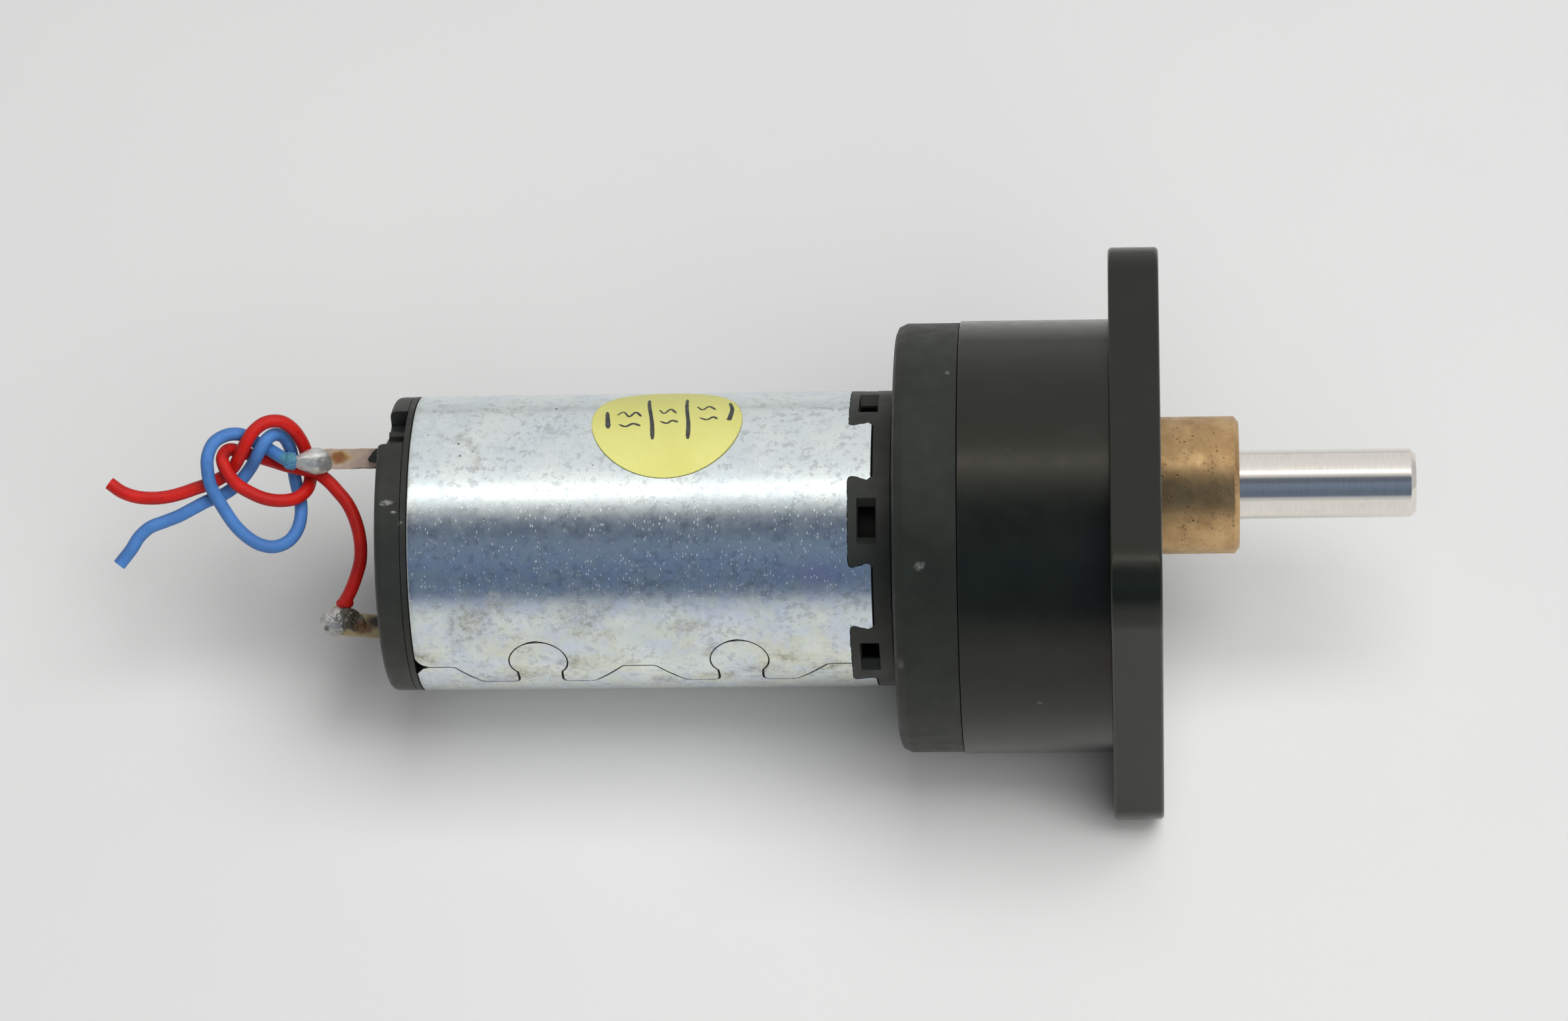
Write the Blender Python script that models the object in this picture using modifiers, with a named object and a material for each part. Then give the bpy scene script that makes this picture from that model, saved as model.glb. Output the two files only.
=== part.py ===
"""Geared DC motor with an eccentric output shaft and a square mounting flange.

Frame: metres. The origin is the centre of the output shaft's end face. +X runs along the output
shaft toward its free end, +Z is up and the flange's flat lower side faces -Z.
The dimensions below are in millimetres from the centre of the flange's front face, on the axis that
the motor and the gearbox share. The empty motor_frame carries that point to its place.
"""
import math

import bmesh
import bpy
from mathutils import Quaternion, Vector

MM = 0.001
GAP = 0.3                  # clearance between neighbouring pieces

# output side
SHAFT_D = 8.0
SHAFT_TIP = 29.6
OUTPUT_Y = 7.0             # the output shaft sits this far off the motor axis
BUSH_D = 16.0
BUSH_TIP = 9.1

# gearbox
FLANGE_SIDE = 51.6
FLANGE_T = 5.8
FLANGE_CORNER = 6.9
FLANGE_HOLE_D = 4.3
FLANGE_HOLE_AT = 20.0      # bolt holes at plus and minus this in Y and Z
HOUSING_D = 50.2
COVER_D = 49.8
GEAR_ROOM_D = 45.2
JOINT_X = -23.0            # joint line between housing and cover
COVER_REAR_X = -30.3
COVER_WALL = 2.0
FRONT_WALL = 5.8

# motor
CAN_D = 34.3
CAN_BORE_D = 30.7
CAN_REAR_X = -85.9
CAN_FRONT_X = -32.9
NOTCH_DEPTH = 2.75         # depth of the notches in the front rim of the can
NOTCH_W = 10.8
KEYS = 6
KEY_TURN_DEG = -2.2       # turn of the ring of keys from the +Y direction
CAP_REAR_X = -89.75
MOTOR_SHAFT_D = 3.2
TERMINAL_W = 2.4
TERMINAL_T = 0.5
TERMINAL_V = (10.0, -9.6)  # height of the two terminals along the brush line
BRUSH_LINE_DEG = 34.8      # tilt of the brush line from +Y toward +Z
WIRE_D = 1.55

# gear train: module, teeth of the driver, teeth of the driven wheel
STAGE_1 = (0.5, 14, 36)
STAGE_2 = (0.6, 12, 32)
STAGE_3 = (0.7, 12, 40)

SIDES = 48
TURN_TO_X = (math.pi / 2, 0.0, math.pi / 2)   # local X, Y, Z become world Y, Z, X

for old in list(bpy.data.objects):
    bpy.data.objects.remove(old, do_unlink=True)

parts = bpy.data.collections.new("geared_dc_motor")
tools = bpy.data.collections.new("cutters")
bpy.context.scene.collection.children.link(parts)
bpy.context.scene.collection.children.link(tools)

root = bpy.data.objects.new("motor_frame", None)
root.location = (-SHAFT_TIP * MM, -OUTPUT_Y * MM, 0.0)
parts.objects.link(root)
brush_frame = bpy.data.objects.new("brush_line", None)
brush_frame.rotation_euler = (math.radians(BRUSH_LINE_DEG), 0.0, 0.0)
brush_frame.parent = root
parts.objects.link(brush_frame)


def material(name, color, roughness, metallic=0.0):
    mat = bpy.data.materials.new(name)
    mat.use_nodes = True
    shader = mat.node_tree.nodes["Principled BSDF"]
    shader.inputs["Base Color"].default_value = (*color, 1.0)
    shader.inputs["Roughness"].default_value = roughness
    shader.inputs["Metallic"].default_value = metallic
    mat.diffuse_color = (*color, 1.0)
    return mat


def adopt(obj, mat, parent=None, coll=None):
    obj.parent = parent or root
    (coll or parts).objects.link(obj)
    if mat:
        obj.data.materials.append(mat)
    if coll is tools:
        obj.hide_render = True
        obj.display_type = "WIRE"
    return obj


def turned(name, profile, mat, y=0.0, z=0.0, sides=SIDES, parent=None, coll=None):
    """Turn a closed profile about an axis along X.

    The profile is (x, radius) pairs in mm and runs down the outer side from high x to low x.
    One that starts and ends on the axis is solid, any other one is closed back to its start.
    """
    mesh = bpy.data.meshes.new(name)
    verts = [(r * MM, 0.0, x * MM) for x, r in profile]
    edges = [(i, i + 1) for i in range(len(verts) - 1)]
    if profile[0][1] > 0:
        edges.append((len(verts) - 1, 0))
    mesh.from_pydata(verts, edges, [])
    obj = bpy.data.objects.new(name, mesh)
    obj.location = (0.0, y * MM, z * MM)
    obj.rotation_euler = TURN_TO_X
    screw = obj.modifiers.new("turn", "SCREW")
    screw.axis = "Z"
    screw.angle = 2 * math.pi
    screw.steps = sides
    screw.render_steps = sides
    screw.use_merge_vertices = True
    screw.merge_threshold = 0.00001
    screw.use_smooth_shade = True
    return adopt(obj, mat, parent, coll)


def plate(name, outlines, x0, x1, mat, y=0.0, z=0.0, turn=0.0, coll=None):
    """A flat plate between x0 and x1 from outlines in (Y, Z), the first one solid, the rest holes."""
    curve = bpy.data.curves.new(name, "CURVE")
    curve.dimensions = "2D"
    curve.fill_mode = "BOTH"
    curve.extrude = 0.5 * (x1 - x0) * MM
    for outline in outlines:
        spline = curve.splines.new("POLY")
        spline.points.add(len(outline) - 1)
        for point, (a, b) in zip(spline.points, outline):
            point.co = (a * MM, b * MM, 0.0, 1.0)
        spline.use_cyclic_u = True
    obj = bpy.data.objects.new(name, curve)
    obj.location = (0.5 * (x0 + x1) * MM, y * MM, z * MM)
    obj.rotation_euler = TURN_TO_X
    if turn:
        base = obj.rotation_euler.to_quaternion()
        obj.rotation_mode = "QUATERNION"
        obj.rotation_quaternion = Quaternion((1, 0, 0), turn) @ base
    return adopt(obj, mat, None, coll)


def box(name, lo, hi, mat, parent=None, coll=None, spin=0.0):
    """A box between two corners, turned by spin about the parent's X axis."""
    mesh = bpy.data.meshes.new(name)
    bm = bmesh.new()
    bmesh.ops.create_cube(bm, size=1.0)
    for vert in bm.verts:
        for k in range(3):
            vert.co[k] = (lo[k] + (vert.co[k] + 0.5) * (hi[k] - lo[k])) * MM
    bm.to_mesh(mesh)
    bm.free()
    obj = bpy.data.objects.new(name, mesh)
    obj.rotation_euler = (spin, 0.0, 0.0)
    return adopt(obj, mat, parent, coll)


def ball(name, centre, radii, mat, parent=None, coll=None, rings=8):
    mesh = bpy.data.meshes.new(name)
    bm = bmesh.new()
    bmesh.ops.create_uvsphere(bm, u_segments=2 * rings, v_segments=rings, radius=MM)
    for vert in bm.verts:
        vert.co = [vert.co[k] * radii[k] for k in range(3)]
    bm.to_mesh(mesh)
    bm.free()
    mesh.shade_smooth()
    obj = bpy.data.objects.new(name, mesh)
    obj.location = [c * MM for c in centre]
    return adopt(obj, mat, parent, coll)


def rod(name, x0, x1, radius, y=0.0, z=0.0, sides=24):
    """A cutter: a plain cylinder along X."""
    return turned(name, [(x1, 0), (x1, radius), (x0, radius), (x0, 0)], None, y, z, sides, None, tools)


def combine(obj, other, operation):
    mod = obj.modifiers.new(operation.lower(), "BOOLEAN")
    mod.operation = operation
    mod.object = other
    return obj


def as_mesh(obj):
    """Replace a curve object by its mesh, with the caps welded to the sides."""
    depsgraph = bpy.context.evaluated_depsgraph_get()
    mesh = bpy.data.meshes.new_from_object(obj.evaluated_get(depsgraph))
    bm = bmesh.new()
    bm.from_mesh(mesh)
    bmesh.ops.remove_doubles(bm, verts=bm.verts, dist=0.000001)
    bm.to_mesh(mesh)
    bm.free()
    solid = bpy.data.objects.new(obj.name, mesh)
    name = obj.name
    solid.location = obj.location
    solid.rotation_euler = obj.rotation_euler
    if obj.rotation_mode == "QUATERNION":
        solid.rotation_mode = "QUATERNION"
        solid.rotation_quaternion = obj.rotation_quaternion
    solid.parent = obj.parent
    for coll in obj.users_collection:
        coll.objects.link(solid)
    solid.hide_render = obj.hide_render
    solid.display_type = obj.display_type
    bpy.data.objects.remove(obj, do_unlink=True)
    solid.name = name
    return solid


def circle(radius, count, y=0.0, z=0.0):
    step = 2 * math.pi / count
    return [(y + radius * math.cos(i * step), z + radius * math.sin(i * step)) for i in range(count)]


def rounded_square(side, corner, count=8):
    half = side / 2 - corner
    points = []
    for k, (sy, sz) in enumerate(((1, 1), (-1, 1), (-1, -1), (1, -1))):
        for i in range(count + 1):
            angle = (k + i / count) * math.pi / 2
            points.append((sy * half + corner * math.cos(angle), sz * half + corner * math.sin(angle)))
    return points


def involute(value):
    return math.tan(value) - value


def gear_outline(module, teeth, slack=0.84, addendum=0.85):
    """Tooth outline of a spur gear with a 20 degree pressure angle, six points to a tooth.

    slack under 1 thins the teeth, which leaves backlash. Tooth 0 points along local X.
    """
    pitch = module * teeth / 2
    base = pitch * math.cos(math.radians(20))
    tip = pitch + addendum * module
    foot = pitch - 1.15 * module
    half = math.pi / (2 * teeth) * slack

    def half_angle(radius):
        lean = math.acos(base / radius) if radius > base else 0.0
        return half + involute(math.radians(20)) - involute(lean)

    points = []
    for k in range(teeth):
        mid = 2 * math.pi * k / teeth
        for radius, side in ((foot, -1), (pitch, -1), (tip, -1), (tip, 1), (pitch, 1), (foot, 1)):
            angle = mid + side * half_angle(radius)
            points.append((radius * math.cos(angle), radius * math.sin(angle)))
    return points


def mesh_phase(driver_phase, driver_teeth, driven_teeth, heading):
    """Turn of a driven wheel so that its gap meets the driver's tooth on the line of centres.

    heading is the direction from the driver's centre to the driven wheel's centre.
    """
    step = 2 * math.pi / driver_teeth
    offset = (heading - driver_phase) / step
    part = offset - round(offset)
    back = heading + math.pi
    return back - math.pi / driven_teeth + part * 2 * math.pi / driven_teeth


# ---------------------------------------------------------------- materials
STEEL_ZINC = material("zinc_plated_steel", (0.62, 0.63, 0.64), 0.32, 1.0)
STEEL_GROUND = material("ground_steel", (0.66, 0.65, 0.63), 0.22, 1.0)
STEEL_DARK = material("hardened_steel", (0.30, 0.30, 0.31), 0.40, 1.0)
BRONZE = material("sintered_bronze", (0.47, 0.37, 0.24), 0.45, 1.0)
BRASS = material("brass", (0.70, 0.52, 0.25), 0.35, 1.0)
COPPER_TAB = material("copper_tab", (0.62, 0.42, 0.32), 0.38, 1.0)
COPPER_WIRE = material("enamelled_copper", (0.55, 0.24, 0.10), 0.40, 0.8)
SOLDER = material("solder", (0.68, 0.68, 0.66), 0.25, 1.0)
CAST_GREY = material("cast_black_grey", (0.045, 0.050, 0.048), 0.55)
MOULDED = material("moulded_black", (0.030, 0.033, 0.034), 0.50)
FERRITE = material("ferrite", (0.05, 0.05, 0.055), 0.70)
LAMINATION = material("lamination_steel", (0.35, 0.35, 0.36), 0.45, 1.0)
CARBON = material("carbon", (0.03, 0.03, 0.03), 0.60)
RED_PVC = material("red_insulation", (0.62, 0.03, 0.03), 0.38)
BLUE_PVC = material("blue_insulation", (0.07, 0.20, 0.55), 0.40)
LABEL = material("yellow_label", (0.80, 0.62, 0.08), 0.55)

# ---------------------------------------------------------------- positions
centre_12 = STAGE_1[0] * (STAGE_1[1] + STAGE_1[2]) / 2
centre_23 = STAGE_2[0] * (STAGE_2[1] + STAGE_2[2]) / 2
centre_34 = STAGE_3[0] * (STAGE_3[1] + STAGE_3[2]) / 2
PIN_B = (OUTPUT_Y - centre_34, 0.0)
# pin A lies on the circle about the motor axis and on the circle about pin B
along = (centre_12 ** 2 - centre_23 ** 2 + PIN_B[0] ** 2) / (2 * PIN_B[0])
PIN_A = (along, math.sqrt(centre_12 ** 2 - along ** 2))
PIN_D = 2.4

room_rear = COVER_REAR_X + COVER_WALL
room_front = -FRONT_WALL
COLUMN_R = 20.2
COLUMN_ANGLES = (60, -60, -120)
columns = [(COLUMN_R * math.cos(math.radians(a)), COLUMN_R * math.sin(math.radians(a)))
           for a in COLUMN_ANGLES]
MOTOR_SCREW_R = 12.0
motor_screws = [(MOTOR_SCREW_R * math.cos(math.radians(a)), MOTOR_SCREW_R * math.sin(math.radians(a)))
                for a in (-30, 150)]

# ---------------------------------------------------------------- gearbox housing with its flange
ro = HOUSING_D / 2
ri = GEAR_ROOM_D / 2
housing = turned("gearbox_housing", [(-FLANGE_T / 2, 0), (-FLANGE_T / 2, ro), (JOINT_X + 0.08, ro),
                                     (JOINT_X + 0.08, ri), (room_front, ri), (room_front, 0)], CAST_GREY)
flange = as_mesh(plate("flange_block", [rounded_square(FLANGE_SIDE, FLANGE_CORNER)], -FLANGE_T, 0.0,
                       None, coll=tools))
bevel = flange.modifiers.new("edge_break", "BEVEL")
bevel.width = 0.5 * MM
bevel.segments = 1
bevel.limit_method = "ANGLE"
bevel.angle_limit = math.radians(60)
combine(housing, flange, "UNION")
for k, (y, z) in enumerate(columns):
    lug = turned(f"lug_{k}", [(room_front + 0.5, 0), (room_front + 0.5, 2.6), (JOINT_X + 0.08, 2.6),
                              (JOINT_X + 0.08, 0)], None, y, z, 24, None, tools)
    combine(housing, lug, "UNION")
    combine(housing, rod(f"lug_hole_{k}", JOINT_X - 1, JOINT_X + 9.0, 1.55, y, z, 16), "DIFFERENCE")
combine(housing, rod("bush_hole", -20.0, 5.0, BUSH_D / 2 + GAP, OUTPUT_Y, 0.0, 48), "DIFFERENCE")
for k in range(4):
    y = FLANGE_HOLE_AT * (1 if k in (0, 3) else -1)
    z = FLANGE_HOLE_AT * (1 if k in (0, 1) else -1)
    combine(housing, rod(f"bolt_hole_{k}", -FLANGE_T - 2.0, 2.0, FLANGE_HOLE_D / 2, y, z, 20), "DIFFERENCE")

# ---------------------------------------------------------------- gearbox cover
rc = COVER_D / 2
cover = turned("gearbox_cover", [
    (JOINT_X - 0.08, rc), (COVER_REAR_X + 1.3, rc), (COVER_REAR_X + 0.4, rc - 0.35),
    (COVER_REAR_X, rc - 1.2), (COVER_REAR_X, 5.0), (room_rear, 5.0), (room_rear, ri),
    (JOINT_X - 0.08, ri)], CAST_GREY)
for k, (y, z) in enumerate(columns):
    combine(cover, rod(f"cover_hole_{k}", COVER_REAR_X - 1, room_rear + 1, 1.75, y, z, 16), "DIFFERENCE")
    combine(cover, rod(f"cover_recess_{k}", COVER_REAR_X - 1, COVER_REAR_X + 1.5, 2.8, y, z, 20),
            "DIFFERENCE")
for k, (y, z) in enumerate(motor_screws):
    combine(cover, rod(f"motor_hole_{k}", COVER_REAR_X - 1, room_rear + 1, 1.75, y, z, 16), "DIFFERENCE")

for k, (y, z) in enumerate(columns):
    head = COVER_REAR_X + 0.1
    turned(f"cover_screw_{k + 1}", [
        (JOINT_X + 5.5, 0), (JOINT_X + 5.5, 1.0), (JOINT_X + 5.0, 1.25), (head + 1.1, 1.25),
        (head + 1.1, 2.4), (head, 2.4), (head, 1.2), (head + 0.5, 0.9), (head + 0.5, 0)],
        STEEL_DARK, y, z, 16)
for k, (y, z) in enumerate(motor_screws):
    base = room_rear + GAP
    turned(f"motor_screw_{k + 1}", [
        (base + 1.1, 0), (base + 1.1, 2.3), (base, 2.5), (base, 1.4), (-34.6, 1.4), (-35.0, 1.0),
        (-35.0, 0)], STEEL_DARK, y, z, 16)

# ---------------------------------------------------------------- output bush, shaft and gear
rb = BUSH_D / 2
rs = SHAFT_D / 2
turned("output_bush", [
    (BUSH_TIP, rb - 0.8), (BUSH_TIP - 0.8, rb), (-8.8, rb), (-8.8, rs + GAP),
    (BUSH_TIP - 0.4, rs + GAP), (BUSH_TIP, rs + GAP + 0.4)], BRONZE, OUTPUT_Y, 0.0, 36)
turned("output_shaft", [
    (SHAFT_TIP, 0), (SHAFT_TIP, rs - 0.7), (SHAFT_TIP - 0.7, rs), (-18.0, rs), (-18.4, rs - 0.4),
    (-18.4, 0)], STEEL_GROUND, OUTPUT_Y, 0.0, 32)

# phases of the wheels at rest, from the motor pinion outward
head_1 = math.atan2(PIN_A[1], PIN_A[0])
head_2 = math.atan2(PIN_B[1] - PIN_A[1], PIN_B[0] - PIN_A[0])
head_3 = math.atan2(-PIN_B[1], OUTPUT_Y - PIN_B[0])
phase_0 = 0.0
phase_1 = mesh_phase(phase_0, STAGE_1[1], STAGE_1[2], head_1)
phase_2 = mesh_phase(0.0, STAGE_2[1], STAGE_2[2], head_2)
phase_3 = mesh_phase(0.0, STAGE_3[1], STAGE_3[2], head_3)

module, driver, driven = STAGE_1
plate("motor_pinion", [gear_outline(module, driver), circle(MOTOR_SHAFT_D / 2 + GAP, 20)],
      -26.9, -22.9, BRASS)
wheel_bore = PIN_D / 2 + 0.3
plate("stage_1_wheel", [gear_outline(module, driven), circle(wheel_bore, 20)],
      -26.6, -22.8, STEEL_DARK, PIN_A[0], PIN_A[1], phase_1)
module, driver, driven = STAGE_2
plate("stage_1_pinion", [gear_outline(module, driver), circle(wheel_bore, 20)],
      -22.5, -17.0, STEEL_DARK, PIN_A[0], PIN_A[1])
plate("stage_2_wheel", [gear_outline(module, driven), circle(wheel_bore, 20)],
      -22.2, -17.4, STEEL_DARK, PIN_B[0], PIN_B[1], phase_2)
module, driver, driven = STAGE_3
plate("stage_2_pinion", [gear_outline(module, driver), circle(wheel_bore, 20)],
      -17.1, -9.9, STEEL_DARK, PIN_B[0], PIN_B[1])
plate("output_gear", [gear_outline(module, driven), circle(rs + GAP, 32)],
      -16.6, -10.4, STEEL_DARK, OUTPUT_Y, 0.0, phase_3)

for name, (y, z) in (("gear_pin_1", PIN_A), ("gear_pin_2", PIN_B)):
    turned(name, [(room_front - GAP, 0), (room_front - GAP, PIN_D / 2), (room_rear + GAP, PIN_D / 2),
                  (room_rear + GAP, 0)], STEEL_GROUND, y, z, 20)


def washer(name, x0, x1, bore, outer, y, z, mat=BRASS, sides=24):
    turned(name, [(x1, outer), (x0, outer), (x0, bore), (x1, bore)], mat, y, z, sides)


washer("stage_1_washer", -27.6, -26.9, wheel_bore, 2.7, PIN_A[0], PIN_A[1])
washer("stage_2_washer", -9.6, -8.9, wheel_bore, 2.9, PIN_B[0], PIN_B[1])
washer("output_washer", -10.1, -9.2, rs + GAP, 6.6, OUTPUT_Y, 0.0)
washer("output_retaining_ring", -17.7, -16.9, rs + GAP, 5.6, OUTPUT_Y, 0.0, STEEL_DARK)

# ---------------------------------------------------------------- motor can and its front shield
rm = CAN_D / 2
rmi = CAN_BORE_D / 2
can = turned("motor_can", [(CAN_FRONT_X, rm), (CAN_REAR_X, rm), (CAN_REAR_X, rmi), (CAN_FRONT_X, rmi)],
             STEEL_ZINC)
shield_face = COVER_REAR_X - GAP
shield = turned("front_shield", [
    (shield_face, rm), (CAN_FRONT_X + GAP, rm), (CAN_FRONT_X + GAP, rmi - GAP), (-35.3, rmi - GAP),
    (-35.3, 12.9), (-33.2, 12.9), (-33.2, 7.2), (-36.4, 7.2), (-36.4, 5.3), (-31.4, 5.3),
    (-31.4, 2.5), (shield_face, 2.5)], MOULDED)
for k in range(KEYS):
    spin = 2 * math.pi * k / KEYS + math.radians(KEY_TURN_DEG)
    cut = box(f"can_notch_{k}", (CAN_FRONT_X - NOTCH_DEPTH, rmi - 2, -NOTCH_W / 2),
              (CAN_FRONT_X + 1, rm + 2, NOTCH_W / 2), None, root, tools, spin)
    combine(can, cut, "DIFFERENCE")
    key_w = NOTCH_W / 2 - GAP
    key = box(f"key_{k}", (CAN_FRONT_X - NOTCH_DEPTH + GAP, rmi - 2.6, -key_w),
              (CAN_FRONT_X + 1.2, rm, key_w), None, root, tools, spin)
    combine(shield, key, "UNION")
    pocket = box(f"key_pocket_{k}", (-34.85, rm - 1.3, -2.7), (-32.55, rm + 2, 2.7), None, root, tools, spin)
    combine(shield, pocket, "DIFFERENCE")
for k, (y, z) in enumerate(motor_screws):
    combine(shield, rod(f"shield_hole_{k}", -37, shield_face + 2, 1.7, y, z, 16), "DIFFERENCE")

# ---------------------------------------------------------------- rotor
rr = MOTOR_SHAFT_D / 2
turned("motor_shaft", [(-22.75, 0), (-22.75, rr - 0.2), (-22.95, rr), (-88.7, rr), (-88.9, rr - 0.2),
                       (-88.9, 0)], STEEL_GROUND, 0, 0, 20)
for name, x0, x1 in (("front_bearing", -36.2, -31.7), ("rear_bearing", -88.95, -87.1)):
    turned(name, [(x1, 5.0), (x0, 5.0), (x0, rr + GAP), (x1, rr + GAP)], BRONZE, 0, 0, 20)

ROTOR_R = 11.5
SLOTS = 5


def rotor_outline():
    """Five T-shaped poles with slots that open through a narrow mouth."""
    points = []
    pitch = 2 * math.pi / SLOTS
    for k in range(SLOTS):
        mid = k * pitch
        for radius, share in ((4.6, -0.32), (8.6, -0.17), (9.6, -0.44), (ROTOR_R, -0.45), (ROTOR_R, -0.30),
                              (ROTOR_R, -0.15), (ROTOR_R, 0.0), (ROTOR_R, 0.15), (ROTOR_R, 0.30),
                              (ROTOR_R, 0.45), (9.6, 0.44), (8.6, 0.17), (4.6, 0.32)):
            angle = mid + share * pitch
            points.append((radius * math.cos(angle), radius * math.sin(angle)))
    return points


plate("rotor_core", [rotor_outline(), circle(rr + GAP, 20)], -74.0, -44.0, LAMINATION)
windings = turned("rotor_windings", [
    (-41.4, 8.2), (-42.3, 9.2), (-43.6, 9.2), (-43.6, 2.3), (-41.4, 2.3)], COPPER_WIRE, 0, 0, 24)
end_turns = turned("end_turns", [
    (-74.4, 2.3), (-74.4, 9.2), (-75.7, 9.2), (-76.4, 8.2), (-76.4, 2.3)], None, 0, 0, 24, None, tools)
combine(windings, end_turns, "UNION")
for k in range(SLOTS):
    angle = (k + 0.5) * 2 * math.pi / SLOTS
    bar = turned(f"coil_bar_{k}", [(-43.0, 0), (-43.0, 1.15), (-75.0, 1.15), (-75.0, 0)], None,
                 7.0 * math.cos(angle), 7.0 * math.sin(angle), 8, None, tools)
    combine(windings, bar, "UNION")

commutator_outline = []
for k in range(SLOTS):
    for radius, share in ((4.0, 0.02), (4.5, 0.03), (4.5, 0.25), (4.5, 0.5), (4.5, 0.75), (4.5, 0.97),
                          (4.0, 0.98)):
        angle = (k + share) * 2 * math.pi / SLOTS
        commutator_outline.append((radius * math.cos(angle), radius * math.sin(angle)))
plate("commutator", [commutator_outline, circle(rr + GAP, 20)], -83.2, -77.2, COPPER_WIRE)

# ---------------------------------------------------------------- magnets
for name, middle in (("magnet_upper", math.pi / 2), ("magnet_lower", -math.pi / 2)):
    spread = math.radians(68)
    count = 16
    arc = [middle - spread + 2 * spread * i / count for i in range(count + 1)]
    outline = [(15.0 * math.cos(a), 15.0 * math.sin(a)) for a in arc]
    outline += [(12.3 * math.cos(a), 12.3 * math.sin(a)) for a in reversed(arc)]
    plate(name, [outline], -76.0, -42.0, FERRITE)

# ---------------------------------------------------------------- brush plate and rear cap
brush_plate = turned("brush_plate", [
    (-84.0, rmi - GAP), (-86.05, rmi - GAP), (-86.05, rm), (-86.6, rm), (-86.6, 7.0), (-84.0, 7.0)], MOULDED)
cap = turned("rear_cap", [
    (-86.75, rm - 0.05), (CAP_REAR_X + 0.8, rm - 0.05), (CAP_REAR_X + 0.25, rm - 0.3),
    (CAP_REAR_X, rm - 0.85), (CAP_REAR_X, 0), (-89.25, 0), (-89.25, 5.3), (-86.75, 5.3)], MOULDED)
# the profile above is closed along the floor of the bearing seat, so it is a cup turned about X
NOTCH_MID = math.radians(180 - 108)
rim_notch = box("rim_notch", (CAP_REAR_X - 1, 14.5, -3.3), (-86.5, rm + 2, 3.3), None, root, tools, NOTCH_MID)
combine(cap, rim_notch, "DIFFERENCE")
rib = box("rim_rib", (-88.7, 14.0, 0.2), (-87.2, 15.4, 1.0), None, root, tools, NOTCH_MID)
combine(cap, rib, "UNION")
for k, v in enumerate(TERMINAL_V):
    slot = box(f"terminal_slot_{k}", (-95, v - TERMINAL_W / 2 - GAP, -TERMINAL_T / 2 - GAP),
               (-80, v + TERMINAL_W / 2 + GAP, TERMINAL_T / 2 + GAP), None, brush_frame, tools)
    combine(cap, slot, "DIFFERENCE")
    combine(brush_plate, slot, "DIFFERENCE")
upper_v = TERMINAL_V[0]
lug_block = box("terminal_lug", (-92.4, upper_v - 0.5, TERMINAL_T / 2 + GAP), (-89.5, upper_v + 1.25, 1.45), None,
                brush_frame, tools)
combine(cap, lug_block, "UNION")

# ---------------------------------------------------------------- terminals, brushes and solder
TAB_TIPS = (-96.2, -94.8)
for name, v, tip in (("upper", TERMINAL_V[0], TAB_TIPS[0]), ("lower", TERMINAL_V[1], TAB_TIPS[1])):
    side = 1 if v > 0 else -1
    box(f"terminal_{name}", (tip, v - TERMINAL_W / 2, -TERMINAL_T / 2),
        (-83.4, v + TERMINAL_W / 2, TERMINAL_T / 2), COPPER_TAB, brush_frame)
    inner, outer = sorted((side * 4.85, side * 8.9))
    box(f"brush_{name}", (-82.4, inner, -1.5), (-78.4, outer, 1.5), CARBON, brush_frame)
    near, far = sorted((side * 9.3, side * 9.7))
    box(f"brush_spring_{name}", (-83.1, near, -1.2), (-78.0, far, 1.2), BRASS, brush_frame)

ball("solder_upper", (-98.7, 9.8, 0.2), (2.2, 1.6, 1.25), SOLDER, brush_frame)
lower_joint = ball("solder_lower", (-96.75, -8.95, 0.0), (1.5, 1.6, 1.3), SOLDER, brush_frame)
fillet = ball("solder_fillet", (-95.95, -7.85, 0.0), (0.78, 0.78, 0.78), None, brush_frame, tools, 7)
combine(lower_joint, fillet, "UNION")

# ---------------------------------------------------------------- lead wires
# Route points in mm on the brush line's frame: x along the motor, v up, w out of the knot's plane.
# Both leads run into one loose overhand knot, over and under each other, and end cut off.
BLUE_ROUTE = [
    (-101.44, 9.62, 0.25), (-103.02, 10.46, -0.36), (-104.48, 11.33, -1.1), (-106.01, 12.19, -0.94),
    (-107.52, 13, -0.33), (-109.12, 12.93, 0.43), (-110.49, 12.04, 1.21), (-111.16, 10.43, 1.62),
    (-111.19, 8.64, 1.48), (-110.84, 6.89, 1.25), (-110.02, 5.31, 0.89), (-109.16, 3.77, 0.53),
    (-108.18, 2.31, 0.18), (-106.94, 1.05, -0.16), (-105.44, 0.1, -0.51), (-103.74, -0.18, -0.89),
    (-102.14, 0.48, -1.31), (-101.15, 1.88, -1.8), (-100.82, 3.59, -2.39), (-100.98, 5.28, -3.1),
    (-101.45, 6.85, -3.62), (-101.76, 8.42, -3.68), (-101.91, 10.16, -3.45), (-102.18, 11.69, -2.69),
    (-102.79, 12.75, -1.61), (-103.7, 12.92, -0.39), (-104.63, 12.04, 0.51), (-105.51, 10.55, 0.23),
    (-106.41, 9.23, -0.77), (-107.42, 8.01, -1.4), (-108.63, 6.79, -1.42), (-110.15, 5.85, -1.27),
    (-111.82, 5.2, -1.08), (-113.4, 4.37, -0.82), (-114.99, 3.55, -0.61), (-116.66, 2.9, -0.43),
    (-118.33, 2.26, -0.28), (-119.63, 1.15, -0.16), (-120.61, -0.35, -0.08), (-122.02, -2.11, -0),
]
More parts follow.
